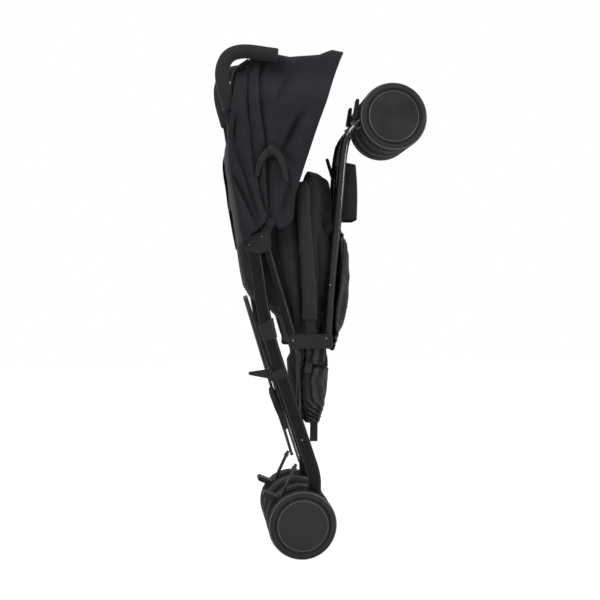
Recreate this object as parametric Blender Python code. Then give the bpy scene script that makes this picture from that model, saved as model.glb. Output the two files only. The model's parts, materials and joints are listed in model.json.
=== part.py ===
"""Umbrella stroller, folded and standing on its rear wheels.

Metres, +Z up, +X towards the front wheels, right side at -Y. Every piece is
drawn for one side, in the X-Z plane of the lane that it lies in, and a lane is
a distance from the middle plane. The left side is the mirror image of the
right one, apart from the single foot lever on the right rear leg.
"""
import math

import bmesh
import bpy
from mathutils import Matrix, Vector

# Clearances
GAP = 0.0003
SIDES = (("right", -1), ("left", 1))
ORIGIN_SHIFT = -0.0044

# Tubes and lanes
TUBE_R = 0.0095
MAIN_LANE = 0.085
REAR_TUBE_WIDTH = 0.026
FRONT_TUBE_R = 0.0085
FRONT_LANE = 0.047
RAIL_R = 0.0045
CHEEK_T = 0.003
KNEE_PLATE_T = 0.004
PIN_R = 0.004
CHEEK_IN = MAIN_LANE - TUBE_R - GAP
CHEEK_OUT = MAIN_LANE + TUBE_R + GAP
SPACER_T = 0.005
RAIL_LANE = CHEEK_IN - SPACER_T - GAP - RAIL_R

# Main pivots, as (x, z)
HINGE = Vector((-0.1430, 0.6239))
KNEE = Vector((-0.0557, 0.4306))
CLIP = Vector((-0.1032, 0.6660))

# Hinge bracket's cheeks
CHEEK_UPPER = Vector((-0.1149, 0.6389))
CHEEK_LOWER = Vector((-0.1129, 0.6207))
CHEEK_BELLY = Vector((-0.1280, 0.6170))
EYE_R = 0.0145
CHEEK_R = 0.012

# Push tube and its crook handle
GRIP_R = 0.014
CROOK = ((-0.0875, 1.0034), (-0.1560, 1.0120), (-0.1870, 1.0020), (-0.2000, 0.9750),
         (-0.1985, 0.9420), (-0.1833, 0.8897))
CROOK_BEND = 0.030
PUSH_TUBE = ((-0.1775, 0.8507), (-0.1690, 0.8103), (-0.1195, 0.6531), (-0.1120, 0.6215))
TUBE_BEND = 0.060
GRIP_END = 0.006

# Rear leg, from its hinge to the wheel fork
REAR_LEG = ((-0.1327, 0.6027), (-0.1130, 0.4616), (-0.0300, 0.2096), (-0.0129, 0.1592))
REAR_FOOT = Vector((-0.0129, 0.1229))
OVAL = 3.2
LEG_BEND = 0.060
COLLAR_TOP = 0.4697
COLLAR_BOTTOM = 0.4314
COLLAR_T = 0.0022

# Wheels: twin pairs on a turning axle
REAR_WHEEL_R = 0.0680
REAR_WHEEL_W = 0.024
REAR_TWIN = 0.0735
REAR_AXLE_X = -0.0415
FRONT_WHEEL_R = 0.0698
FRONT_WHEEL_W = 0.018
FRONT_TWIN = 0.042
FRONT_AXLE = Vector((0.1520, 0.8883))
AXLE_R = 0.004
TYRE_DEPTH = 0.0135
HUB_BOSS_R = 0.010
WHEEL_SIDES = 24

# Rear fork and brake
FORK_W = 0.029
FORK_BLOCK = (0.0306, 0.0383)
FORK_EDGE = 0.002
AXLE_BOSS_R = 0.012
BRAKE_PIVOT = Vector((-0.0466, 0.0988))
BRAKE_TONGUE_W = 0.0124
BRAKE_PIN_R = 0.003
BRAKE_HUB_R = 0.008
PEDAL_NEAR = Vector((-0.0780, 0.1090))
PEDAL_FAR = Vector((-0.1130, 0.1240))
PEDAL_W = 0.034
PEDAL_HALF_T = 0.005
BRAKE_ROD_R = 0.0035
ROD_COLLARS = ((0.0002, 0.0070), (0.0600, 0.0660))
BRAKE_ROD_TOP = Vector((-0.0506, 0.1814))

# Front leg, from the knee plate to the caster
FRONT_LEG = ((0.0187, 0.4341), (0.0249, 0.5300), (0.0430, 0.7171), (0.0475, 0.7786),
             (0.0505, 0.8120), (0.0580, 0.8500), (0.0817, 0.8758))
FRONT_BEND = 0.050
SWIVEL_ANGLE = math.radians(57.6)
SOCKET_R = 0.0105
SOCKET_BACK = 0.010
SOCKET_FRONT = 0.016
STEM_R = 0.0045
STEM_L = 0.014
CASTER_W = 0.021
CASTER_BOSS_R = 0.011
LOCK_HUB_R = 0.005
LOCK_TIP_R = 0.0035
LOCK_REACH = 0.0330
LOCK_LEAN = 0.12
LOCK_W = 0.014

# Knee plate
KNEE_PLATE_W = 0.0876
KNEE_PLATE_H = 0.0301
KNEE_PLATE_CORNER = 0.007
KNEE_PLATE_BACK = 0.0092
KNEE_BLOCK_L = 0.019

# Seat rail
RAIL_PATH = ((-0.0445, 0.4102), (-0.0435, 0.3002), (-0.0425, 0.2575))
RAIL_EYE_R = 0.008

# Rear cross bars
BAR_R = 0.0033
BAR_EYE_R = 0.005
BAR_LANE = 0.045
BAR_BOTTOM = Vector((-0.0440, 0.1840))
BAR_TOP = Vector((-0.1480, 0.5160))
BAR_LAYER = 0.0036
LUG_R = 0.008

# Fold foot lever
LEVER_PIVOT = Vector((-0.0815, 0.3645))
LEVER_TIP = Vector((-0.1433, 0.3651))
LEVER_ROOT = Vector((-0.1070, 0.3640))
LEVER_HUB_R = 0.0105
LEVER_WEB_T = 0.004
LEVER_CLEAR = 0.0045

# Canopy
CLOTH_T = 0.0026
CANOPY_WALL = CHEEK_OUT + 2 * CHEEK_T + 0.001
CANOPY_TOP_WALL = MAIN_LANE - GRIP_R - 0.0055
WALL_LOW = 0.885
WALL_HIGH = 0.935
ROOF_CORNER = 0.016
CLIP_R = 0.009
CLIP_PIN_R = 0.003
BIND_BOW = ((-0.1085, 0.6720), (-0.1205, 0.7560), (-0.1446, 0.8320), (-0.1486, 0.9220),
            (-0.1426, 0.9880))
REAR_EDGE = ((-0.1775, 0.6830), (-0.1840, 0.7120), (-0.1895, 0.7500), (-0.1948, 0.7813),
             (-0.1954, 0.8101), (-0.1850, 0.8469), (-0.1820, 0.8750), (-0.1650, 0.8850),
             (-0.1650, 0.9300), (-0.1690, 0.9700))
FRONT_EDGE = ((-0.0930, 0.6740), (-0.0475, 0.7460), (0.0470, 1.0080))
BOW_SPLIT = 0.004
BACK_ROWS = ((0.7050, -0.1760), (0.8000, -0.1800), (0.9300, -0.1780), (0.9690, -0.1745))
BACK_TOP_X = -0.1722
BACK_JOIN = -0.1640
BACK_CORNER = 0.007
PLEAT_DEPTH = 0.004
REAR_PLEATS = 2
FRONT_PLEATS = 1

# Canopy stretcher
ARM_PIVOT = Vector((-0.1310, 0.7609))
ARM_ELBOW = Vector((-0.1010, 0.8127))
ARM_FRONT = Vector((-0.0750, 0.7510))
ARM_T = 0.003
ARM_R = 0.0055
ELBOW_R = 0.009

# Seat, pad, basket and footrest cloth
MIDDLE = 0.0002
SEAT_ROWS = ((0.7690, -0.0450, 0.0240, 0.7), (0.7400, -0.0980, 0.0320, 1.0),
             (0.6980, -0.1500, 0.0310, 1.0), (0.6820, -0.1740, 0.0300, 1.0),
             (0.6340, -0.1680, 0.0270, 1.0), (0.5730, -0.1600, 0.0240, 1.0),
             (0.5425, -0.1530, 0.0220, 1.0), (0.5150, -0.1370, 0.0190, 1.0),
             (0.5000, -0.1050, 0.0170, 0.9), (0.4700, -0.0760, 0.0120, 0.9),
             (0.4480, -0.0700, 0.0020, 0.9), (0.4250, -0.0660, -0.0080, 0.9))
PIN_HEAD_T = 0.003
SEAT_FOOT_Y = RAIL_LANE - RAIL_R - 2 * GAP - PIN_HEAD_T
SEAT_REAR_Y = SEAT_FOOT_Y / 0.9
SEAT_FRONT_Y = FRONT_LANE - FRONT_TUBE_R - 0.0025
PAD_TOP = Vector((-0.0318, 0.7477))
PAD_BOTTOM = Vector((-0.0216, 0.4754))
PAD_HALF_W = 0.0172
PAD_HALF_T = 0.0080
PAD_OVAL = 2.4
BASKET_ROWS = ((0.4060, -0.0475, 0.0120, 0.60), (0.3775, -0.0475, 0.0150, 0.60),
               (0.3730, -0.0470, 0.0240, 1.0), (0.3600, -0.0470, 0.0235, 1.0),
               (0.3100, -0.0460, 0.0195, 1.0), (0.2700, -0.0400, 0.0100, 1.0),
               (0.2320, -0.0270, 0.0000, 0.8))
BASKET_Y = RAIL_LANE - RAIL_R - GAP
BASKET_FRONT_ROWS = ((0.6520, 0.0600, 0.9), (0.6300, 0.0655, 1.0), (0.5600, 0.0659, 1.0),
                     (0.4900, 0.0640, 1.0), (0.4450, 0.0520, 1.0), (0.4340, 0.0420, 0.9))
BASKET_FRONT_Y = 0.0540
FOOTREST_BOTTOM = 0.6783
FOOTREST_TOP = 0.8000
FOOTREST_BACK = 0.0460
FOOTREST_FRONT = 0.0815
FOOTREST_CORNER = 0.008
FOOTREST_DROP = 0.008


def flat(points):
    """Turn (x, z) pairs into vectors."""
    return [Vector(point) for point in points]


def bent(points, reach, steps=3):
    """Round each inner corner of a route with a short curve."""
    route = flat(points)
    result = [route[0]]
    for before, corner, after in zip(route, route[1:], route[2:]):
        ahead = min(reach, 0.45 * (corner - before).length)
        behind = min(reach, 0.45 * (after - corner).length)
        start = corner + (before - corner).normalized() * ahead
        end = corner + (after - corner).normalized() * behind
        for step in range(steps + 1):
            t = step / steps
            result.append(start * (1 - t) ** 2 + corner * 2 * t * (1 - t) + end * t ** 2)
    result.append(route[-1])
    return result


def cut_route(route, z_top, z_bottom):
    """The stretch of a falling route between two heights."""
    result = []
    for upper, lower in zip(route, route[1:]):
        for level in (z_top, z_bottom):
            if lower.y < level < upper.y:
                t = (upper.y - level) / (upper.y - lower.y)
                result.append(upper.lerp(lower, t))
        if z_bottom < lower.y < z_top:
            result.append(lower.copy())
    return sorted(result, key=lambda point: -point.y)


def circle(centre, radius, steps=12):
    """Points on a circle."""
    turns = [2 * math.pi * (step + 0.5) / steps for step in range(steps)]
    return [centre + Vector((math.cos(turn), math.sin(turn))) * radius for turn in turns]


def hull(*circles):
    """The outline stretched round a set of (centre, radius) circles."""
    points = sorted({(round(p.x, 7), round(p.y, 7)) for c, r in circles for p in circle(c, r)})

    def chain(ordered):
        out = []
        for p in ordered:
            while len(out) > 1:
                a, b = out[-2], out[-1]
                if (b[0] - a[0]) * (p[1] - a[1]) - (b[1] - a[1]) * (p[0] - a[0]) > 1e-10:
                    break
                out.pop()
            out.append(p)
        return out[:-1]

    return flat(chain(points) + chain(points[::-1]))


def box_outline(x0, x1, z0, z1, corner):
    """A rectangle with rounded corners."""
    low, high = Vector((x0 + corner, z0 + corner)), Vector((x1 - corner, z1 - corner))
    return hull((low, corner), (Vector((high.x, low.y)), corner), (high, corner),
                (Vector((low.x, high.y)), corner))


class Shape:
    """A mesh drawn for one side; y is the distance from the middle plane."""

    def __init__(self):
        self.mesh = bmesh.new()

    def ring_faces(self, first, second):
        for i in range(len(first)):
            j = (i + 1) % len(first)
            self.mesh.faces.new((first[i], first[j], second[j], second[i]))

    def ring(self, points):
        return [self.mesh.verts.new(point) for point in points]

    def loft(self, rings, closed=True):
        """Skin a list of rings; closed caps the two ends."""
        made = [self.ring(points) for points in rings]
        for first, second in zip(made, made[1:]):
            self.ring_faces(first, second)
        if closed:
            self.mesh.faces.new(made[0])
            self.mesh.faces.new(made[-1])
        return made

    def plate(self, outline, y0, y1, edge=0.0):
        """A flat plate of the outline between two distances, its outer rim eased."""
        if edge:
            centre = sum(outline, Vector((0, 0))) / len(outline)
            small = [p + (centre - p).normalized() * edge for p in outline]
            rings = [(outline, y0), (outline, y1 - edge), (small, y1)]
        else:
            rings = [(outline, y0), (outline, y1)]
        self.loft([[(p.x, y, p.y) for p in points] for points, y in rings])
        return self

    def section(self, centre, along, lane, width, depth, sides, square):
        """A ring across a route: width lies in the X-Z plane and depth along Y."""
        across = Vector((-along.y, along.x)).normalized()
        points = []
        for step in range(sides):
            turn = 2 * math.pi * (step + 0.5) / sides
            c, s = math.cos(turn), math.sin(turn)
            power = 2 / square
            a = math.copysign(abs(c) ** power, c) * width
            b = math.copysign(abs(s) ** power, s) * depth
            spot = centre + across * a
            points.append((spot.x, lane + b, spot.y))
        return points

    def rings_along(self, route, lane, widths, depth, sides, square):
        rings = []
        for i, spot in enumerate(route):
            before, after = route[max(i - 1, 0)], route[min(i + 1, len(route) - 1)]
            width = widths[i] if isinstance(widths, list) else widths
            rings.append(self.section(spot, after - before, lane, width, depth, sides, square))
        return rings

    def tube(self, route, lane, widths, depth, sides=12, square=2.0):
        """A solid swept along a route in its lane."""
        self.loft(self.rings_along(route, lane, widths, depth, sides, square))
        return self

    def sleeve(self, route, lane, outer, inner, sides=12, square=2.0, blind=0):
        """A hollow sweep; blind closes its start and keeps the bore out of that many rings."""
        outside = self.loft(self.rings_along(route, lane, *outer, sides, square), closed=False)
        inside = self.loft(self.rings_along(route[blind:], lane, *inner, sides, square),
                           closed=False)
        self.ring_faces(outside[-1], inside[-1])
        if blind:
            self.mesh.faces.new(outside[0])
            self.mesh.faces.new(inside[0])
        else:
            self.ring_faces(outside[0], inside[0])
        return self

    def turned(self, centre, profile, sides):
        """Turn a closed (radius, y) profile about an axis along Y."""
        columns = []
        for step in range(sides):
            turn = 2 * math.pi * (step + 0.5) / sides
            c, s = math.cos(turn), math.sin(turn)
            columns.append([(centre.x + r * c, y, centre.y + r * s) for r, y in profile])
        made = [self.ring(points) for points in columns]
        for first, second in zip(made, made[1:] + made[:1]):
            self.ring_faces(first, second)
        return self

    def disc(self, centre, radius, y0, y1, sides=14):
        return self.plate(circle(centre, radius, sides), y0, y1)

    def sheet(self, grid):
        """An open cloth surface through a grid of points."""
        rows = [self.ring(points) for points in grid]
        for first, second in zip(rows, rows[1:]):
            for i in range(len(first) - 1):
                self.mesh.faces.new((first[i], first[i + 1], second[i + 1], second[i]))
        return self

    def rod(self, start, end, radius, sides=10):
        """A straight round bar between two points in space."""
        start, end = Vector(start), Vector(end)
        turn = (end - start).to_track_quat("Z", "X")
        rings = []
        for spot in (start, end):
            ring = []
            for step in range(sides):
                angle = 2 * math.pi * step / sides
                offset = turn @ Vector((math.cos(angle) * radius, math.sin(angle) * radius, 0))
                ring.append(spot + offset)
            rings.append(ring)
        self.loft(rings)
        return self


def material(name, colour, roughness, metallic=0.0):
    made = bpy.data.materials.new(name)
    made.use_nodes = True
    shader = made.node_tree.nodes["Principled BSDF"]
    shader.inputs["Base Color"].default_value = (*colour, 1.0)
    shader.inputs["Roughness"].default_value = roughness
    shader.inputs["Metallic"].default_value = metallic
    made.diffuse_color = (*colour, 1.0)
    return made


def materials():
    return {
        "frame_paint": material("frame_paint", (0.018, 0.018, 0.019), 0.42),
        "gloss_paint": material("gloss_paint", (0.010, 0.010, 0.011), 0.18),
        "plastic": material("plastic", (0.028, 0.028, 0.029), 0.50),
        "foam": material("foam", (0.025, 0.025, 0.025), 0.85),
        "steel": material("steel", (0.35, 0.35, 0.36), 0.35, 1.0),
        "tyre": material("tyre", (0.030, 0.030, 0.031), 0.65),
        "hub": material("hub", (0.040, 0.040, 0.042), 0.35),
        "canopy_cloth": material("canopy_cloth", (0.019, 0.021, 0.026), 0.90),
        "seat_cloth": material("seat_cloth", (0.016, 0.018, 0.022), 0.90),
        "basket_nylon": material("basket_nylon", (0.040, 0.040, 0.042), 0.45),
    }


class Builder:
    """Adds sub-parts to the scene, each under the empty of the body that carries it."""

    def __init__(self):
        self.paint = materials()
        self.root = self.body("frame", (0, 0), 0, None)
        self.root.location.x = ORIGIN_SHIFT

    def body(self, name, pivot, y, parent):
        empty = bpy.data.objects.new(name, None)
        empty.empty_display_size = 0.03
        empty["pivot"] = (pivot[0], y, pivot[1])
        bpy.context.collection.objects.link(empty)
        if parent:
            empty.parent = parent
            empty.location = Vector(empty["pivot"]) - Vector(parent["pivot"])
        return empty

    def put(self, name, shape, side, body, paint, cloth=0.0):
        """Place a shape on its side; cloth gives an open sheet its thickness."""
        mesh = shape.mesh
        pivot = Vector(body["pivot"])
        for vert in mesh.verts:
            vert.co.y *= side
        bmesh.ops.translate(mesh, verts=mesh.verts, vec=-pivot)
        bmesh.ops.remove_doubles(mesh, verts=mesh.verts, dist=0.000001)
        bmesh.ops.recalc_face_normals(mesh, faces=mesh.faces)
        data = bpy.data.meshes.new(name)
        mesh.to_mesh(data)
        mesh.free()
        data.shade_smooth()
        data.set_sharp_from_angle(angle=math.radians(35))
        data.materials.append(self.paint[paint])
        made = bpy.data.objects.new(name, data)
        bpy.context.collection.objects.link(made)
        made.parent = body
        if cloth:
            solid = made.modifiers.new("thickness", "SOLIDIFY")
            solid.thickness = cloth
            solid.offset = 0.0
        return made

    def combine(self, target, shape, side, body, operation):
        """Join a shape to a sub-part, or cut it out, through a hidden cutter."""
        name = f"{target.name}_{operation.lower()}_{len(target.modifiers)}"
        tool = self.put(name, shape, side, body, "plastic")
        tool.hide_render = True
        tool.display_type = "WIRE"
        change = target.modifiers.new(name, "BOOLEAN")
        change.operation = operation
        change.object = tool


def grip_and_push_tube(make, side, tag, body):
    """The crook, its foam grip, and the tube that runs on down to the knee."""
    crook = bent(CROOK, CROOK_BEND, steps=2)
    grip = Shape().sleeve(crook, MAIN_LANE, (GRIP_R, GRIP_R), (TUBE_R + GAP, TUBE_R + GAP),
                          sides=12, blind=2)
    make.put(f"grip_{tag}", grip, side, body, "foam")
    start = crook[2] + (crook[3] - crook[2]).normalized() * GRIP_END * 0.2
    below = bent((CROOK[-2], CROOK[-1], *PUSH_TUBE, KNEE), TUBE_BEND, steps=2)
    run = [start] + crook[3:] + [p for p in below if p.y < CROOK[-1][1]]
    last = (run[-1] - run[-2]).normalized()
    run.append(run[-1] + last * TUBE_R)
    widths = [TUBE_R] * (len(run) - 1) + [TUBE_R * 0.72]
    tube = Shape().tube(run, MAIN_LANE, widths, TUBE_R)
    made = make.put(f"push_tube_{tag}", tube, side, body, "frame_paint")
    bore = Shape().disc(KNEE, PIN_R + GAP, MAIN_LANE - 2 * TUBE_R, MAIN_LANE + 2 * TUBE_R)
    make.combine(made, bore, side, body, "DIFFERENCE")


def hinge_bracket(make, side, tag, body):
    """Two cheeks on the push tube, the rear leg's pin, and the canopy clip's post."""
    outline = hull((HINGE, EYE_R), (CHEEK_UPPER, CHEEK_R), (CHEEK_LOWER, CHEEK_R),
                   (CHEEK_BELLY, EYE_R - 0.001))
    outer = Shape().plate(outline, CHEEK_OUT, CHEEK_OUT + CHEEK_T, 0.001)
    made = make.put(f"hinge_bracket_{tag}", outer, side, body, "plastic")
    inner_outline = hull((HINGE, EYE_R - 0.001), (CHEEK_UPPER, CHEEK_R - 0.002),
                         (CHEEK_LOWER, CHEEK_R - 0.002))
    inner = Shape().plate(inner_outline, CHEEK_IN - CHEEK_T, CHEEK_IN)
    make.combine(made, inner, side, body, "UNION")
    lug = Shape().plate(hull((CHEEK_UPPER, 0.0075), (CLIP, CLIP_R)), CHEEK_OUT + 0.0004,
                        CHEEK_OUT + CHEEK_T - 0.0006)
    make.combine(made, lug, side, body, "UNION")
    pin = Shape().disc(HINGE, PIN_R, CHEEK_IN - 0.5 * CHEEK_T, CHEEK_OUT + 0.5 * CHEEK_T)
    make.combine(made, pin, side, body, "UNION")
    cloth_out = CANOPY_WALL + 0.5 * CLOTH_T
    post = Shape().disc(CLIP, CLIP_PIN_R, CHEEK_OUT + 0.5 * CHEEK_T, cloth_out + 2 * CLOTH_T)
    make.combine(made, post, side, body, "UNION")
    cap = Shape().plate(circle(CLIP, CLIP_R), cloth_out + GAP, cloth_out + CLOTH_T, 0.001)
    make.combine(made, cap, side, body, "UNION")


def rear_leg_route():
    return bent((HINGE, *REAR_LEG, REAR_FOOT), LEG_BEND, steps=2)


def rear_leg(make, side, tag, body):
    """The oval rear tube with its hinge eye and the lug of its cross bar."""
    route = rear_leg_route()
    first = (route[0] - route[1]).normalized()
    half = REAR_TUBE_WIDTH / 2
    route = [route[0] + first * half] + route
    widths = [half * 0.62] + [half] * (len(route) - 1)
    tube = Shape().tube(route, MAIN_LANE, widths, TUBE_R, sides=14, square=OVAL)
    made = make.put(f"rear_leg_{tag}", tube, side, body, "frame_paint")
    bore = Shape().disc(HINGE, PIN_R + GAP, MAIN_LANE - 2 * TUBE_R, MAIN_LANE + 2 * TUBE_R)
    make.combine(made, bore, side, body, "DIFFERENCE")
    anchor = next(p for p in route if p.y < BAR_BOTTOM.y + 0.030)
    lug = Shape().plate(hull((BAR_BOTTOM, LUG_R), (anchor, LUG_R)),
                        BAR_LANE + BAR_EYE_R + GAP, MAIN_LANE - 0.5 * TUBE_R)
    make.combine(made, lug, side, body, "UNION")


def leg_collar(make, side, tag, body):
    half = REAR_TUBE_WIDTH / 2
    route = cut_route(rear_leg_route(), COLLAR_TOP, COLLAR_BOTTOM)
    collar = Shape().sleeve(route, MAIN_LANE, (half + COLLAR_T, TUBE_R + COLLAR_T),
                            (half + 2 * GAP, TUBE_R + 2 * GAP), sides=14, square=OVAL)
    make.put(f"leg_collar_{tag}", collar, side, body, "plastic")


def rear_axle_point():
    return Vector((REAR_AXLE_X, REAR_WHEEL_R * math.cos(math.pi / WHEEL_SIDES)))


def rear_fork(make, side, tag, body):
    """The moulded foot of the rear leg: axle boss, brake clevis and leg seat."""
    axle = rear_axle_point()
    width, height = FORK_BLOCK
    right = REAR_FOOT.x + 0.5 * width
    left, top = right - width, REAR_FOOT.y - GAP
    corners = [Vector((x, z)) for x in (left + FORK_EDGE, right - FORK_EDGE)
               for z in (top - height + FORK_EDGE, top - FORK_EDGE)]
    outline = hull((axle, AXLE_BOSS_R), (BRAKE_PIVOT, BRAKE_HUB_R + 0.001),
                   *[(corner, FORK_EDGE) for corner in corners])
    low, high = MAIN_LANE - FORK_W / 2, MAIN_LANE + FORK_W / 2
    made = make.put(f"rear_fork_{tag}", Shape().plate(outline, low, high), side, body, "plastic")
    slot_floor = BRAKE_PIVOT.y - BRAKE_HUB_R - 0.004
    slot = box_outline(BRAKE_PIVOT.x - 0.060, BRAKE_PIVOT.x + BRAKE_HUB_R + 0.002,
                       slot_floor, slot_floor + 0.060, 0.002)
    half = BRAKE_TONGUE_W / 2 + GAP
    make.combine(made, Shape().plate(slot, MAIN_LANE - half, MAIN_LANE + half), side, body,
                 "DIFFERENCE")
    for spot, radius in ((axle, AXLE_R), (BRAKE_PIVOT, BRAKE_PIN_R)):
        bore = Shape().disc(spot, radius + GAP, low - 0.01, high + 0.01)
        make.combine(made, bore, side, body, "DIFFERENCE")


def brake_lever(make, side, tag, body):
    """The foot pedal, its tongue in the fork, and the pin that it turns on."""
    low, high = MAIN_LANE - BRAKE_TONGUE_W / 2, MAIN_LANE + BRAKE_TONGUE_W / 2
    tongue = hull((BRAKE_PIVOT, BRAKE_HUB_R), (PEDAL_NEAR, PEDAL_HALF_T - 0.0006))
    made = make.put(f"brake_lever_{tag}", Shape().plate(tongue, low, high), side, body, "plastic")
    pedal = hull((PEDAL_NEAR, PEDAL_HALF_T), (PEDAL_FAR, PEDAL_HALF_T))
    make.combine(made, Shape().plate(pedal, MAIN_LANE - PEDAL_W / 2, MAIN_LANE + PEDAL_W / 2),
                 side, body, "UNION")
    pin = Shape().disc(BRAKE_PIVOT, BRAKE_PIN_R, MAIN_LANE - FORK_W / 2 + GAP,
                       MAIN_LANE + FORK_W / 2 - GAP, 12)
    make.combine(made, pin, side, body, "UNION")


def brake_rod(make, side, tag, body):
    """The link that rises from the pedal along the back of the leg."""
    slope = (PEDAL_FAR - PEDAL_NEAR).normalized()
    normal = Vector((slope.y, -slope.x))
    foot = PEDAL_NEAR.lerp(PEDAL_FAR, 0.16) + normal * (PEDAL_HALF_T + GAP)
    shape = Shape().rod((foot.x, MAIN_LANE, foot.y),
                        (BRAKE_ROD_TOP.x, MAIN_LANE, BRAKE_ROD_TOP.y), BRAKE_ROD_R)
    made = make.put(f"brake_rod_{tag}", shape, side, body, "steel")
    rise = (BRAKE_ROD_TOP - foot).normalized()
    for start, end in ROD_COLLARS:
        low, high = foot + rise * start, foot + rise * end
        collar = Shape().rod((low.x, MAIN_LANE, low.y), (high.x, MAIN_LANE, high.y),
                             BRAKE_ROD_R + 0.0016, 12)
        make.combine(made, collar, side, body, "UNION")


def wheel_pair(make, side, kind, tag, body, axle, lane, radius, width, pitch, fork_w):
    """Two tyres on one turning set: two disc hubs on their axle."""
    rim = radius - TYRE_DEPTH
    half = width / 2
    out, back = pitch / 2 + half, pitch / 2 - half
    boss = fork_w / 2 + 2 * GAP
    profile = [(0.4 * rim, out + 0.0010), (rim - 0.003, out - 0.0008), (rim, out - 0.0035),
               (rim, back + 0.004), (HUB_BOSS_R, back + 0.004), (HUB_BOSS_R, boss),
               (AXLE_R, boss)]
    profile += [(r, -y) for r, y in reversed(profile)]
    hubs = Shape()
    hubs.loft([[(p.x, lane + y, p.y) for p in circle(axle, r, WHEEL_SIDES)] for r, y in profile])
    make.put(f"{kind}_hubs_{tag}", hubs, side, body, "hub")
    for place, way in (("inner", -1), ("outer", 1)):
        middle = lane + way * pitch / 2
        tyre = Shape()
        tyre.turned(axle, [(rim + GAP, middle - half), (radius - 0.0045, middle - half),
                           (radius, middle - half * 0.55), (radius, middle + half * 0.55),
                           (radius - 0.0045, middle + half), (rim + GAP, middle + half)],
                    WHEEL_SIDES)
        make.put(f"{kind}_tyre_{place}_{tag}", tyre, side, body, "tyre")


def swivel_frame():
    """The caster's origin, the way down its stem, and the way of its trail."""
    origin = Vector(FRONT_LEG[-1])
    along = Vector((math.sin(SWIVEL_ANGLE), math.cos(SWIVEL_ANGLE)))
    return origin, along, Vector((along.y, -along.x))


def front_leg(make, side, tag, body):
    """The round front tube with the socket that its caster turns in."""
    route = bent(FRONT_LEG, FRONT_BEND, steps=2)
    tube = Shape().tube(route, FRONT_LANE, FRONT_TUBE_R, FRONT_TUBE_R, sides=12)
    made = make.put(f"front_leg_{tag}", tube, side, body, "gloss_paint")
    origin, along, _ = swivel_frame()
    low, high = origin - along * SOCKET_BACK, origin + along * SOCKET_FRONT
    socket = Shape().rod((low.x, FRONT_LANE, low.y), (high.x, FRONT_LANE, high.y), SOCKET_R, 14)
    make.combine(made, socket, side, body, "UNION")
    start = high - along * (STEM_L + 0.002)
    end = high + along * 0.01
    bore = Shape().rod((start.x, FRONT_LANE, start.y), (end.x, FRONT_LANE, end.y), STEM_R + GAP, 12)
    make.combine(made, bore, side, body, "DIFFERENCE")


def front_fork(make, side, tag, body):
    """The caster: a stem, a web, and the boss of the front axle."""
    origin, along, trail = swivel_frame()
    face = origin + along * (SOCKET_FRONT + GAP)
    edge = 0.0015
    base = face + along * edge
    spread = SOCKET_R - edge
    outline = hull((base + trail * spread, edge), (base - trail * spread, edge),
                   (FRONT_AXLE, CASTER_BOSS_R))
    low, high = FRONT_LANE - CASTER_W / 2, FRONT_LANE + CASTER_W / 2
    made = make.put(f"front_fork_{tag}", Shape().plate(outline, low, high), side, body, "plastic")
    top, root = face - along * STEM_L, face + along * 0.006
    stem = Shape().rod((top.x, FRONT_LANE, top.y), (root.x, FRONT_LANE, root.y), STEM_R, 12)
    make.combine(made, stem, side, body, "UNION")
    bore = Shape().disc(FRONT_AXLE, AXLE_R + GAP, low - 0.01, high + 0.01)
    make.combine(made, bore, side, body, "DIFFERENCE")


def lock_pivot():
    origin, along, trail = swivel_frame()
    return origin + along * 0.004 - trail * (SOCKET_R + LOCK_HUB_R + GAP)


def swivel_lock(make, side, tag, body):
    """The foot tab that stops the caster from turning."""
    pivot = lock_pivot()
    tip = pivot + Vector((LOCK_LEAN, 1.0)).normalized() * LOCK_REACH
    outline = hull((pivot, LOCK_HUB_R), (tip, LOCK_TIP_R))
    shape = Shape().plate(outline, FRONT_LANE - LOCK_W / 2, FRONT_LANE + LOCK_W / 2, 0.0008)
    make.put(f"swivel_lock_{tag}", shape, side, body, "plastic")


def knee_plate(make, side, tag, body):
    """The link plate: it turns on the knee pin and carries the front leg's foot."""
    left = KNEE.x - KNEE_PLATE_BACK
    right = left + KNEE_PLATE_W
    top = KNEE.y + 0.44 * KNEE_PLATE_H
    bottom = top - KNEE_PLATE_H
    outline = box_outline(left, right, bottom, top, KNEE_PLATE_CORNER)
    outer = Shape().plate(outline, CHEEK_OUT, CHEEK_OUT + KNEE_PLATE_T, 0.001)
    made = make.put(f"knee_plate_{tag}", outer, side, body, "plastic")
    leg_side = FRONT_LANE + FRONT_TUBE_R + GAP
    block = box_outline(right - KNEE_BLOCK_L, right - 0.001, bottom + 0.001, top - 0.001, 0.003)
    make.combine(made, Shape().plate(block, leg_side, CHEEK_OUT + 0.5 * KNEE_PLATE_T), side, body,
                 "UNION")
    seat_top = FRONT_LEG[0][1] - 2 * GAP
    seat = box_outline(right - KNEE_BLOCK_L + 0.0005, right - 0.0015, bottom + 0.0015, seat_top,
                       0.002)
    make.combine(made, Shape().plate(seat, FRONT_LANE - FRONT_TUBE_R, leg_side + 0.004), side,
                 body, "UNION")
    head = RAIL_LANE - RAIL_R - GAP
    pin = Shape().disc(KNEE, PIN_R, head - 0.001, CHEEK_OUT + 0.5 * KNEE_PLATE_T)
    make.combine(made, pin, side, body, "UNION")
    spacer = Shape().disc(KNEE, PIN_R + 0.003, RAIL_LANE + RAIL_R + GAP, CHEEK_IN)
    make.combine(made, spacer, side, body, "UNION")
    make.combine(made, Shape().disc(KNEE, PIN_R + 0.0025, head - PIN_HEAD_T, head), side, body,
                 "UNION")


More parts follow.
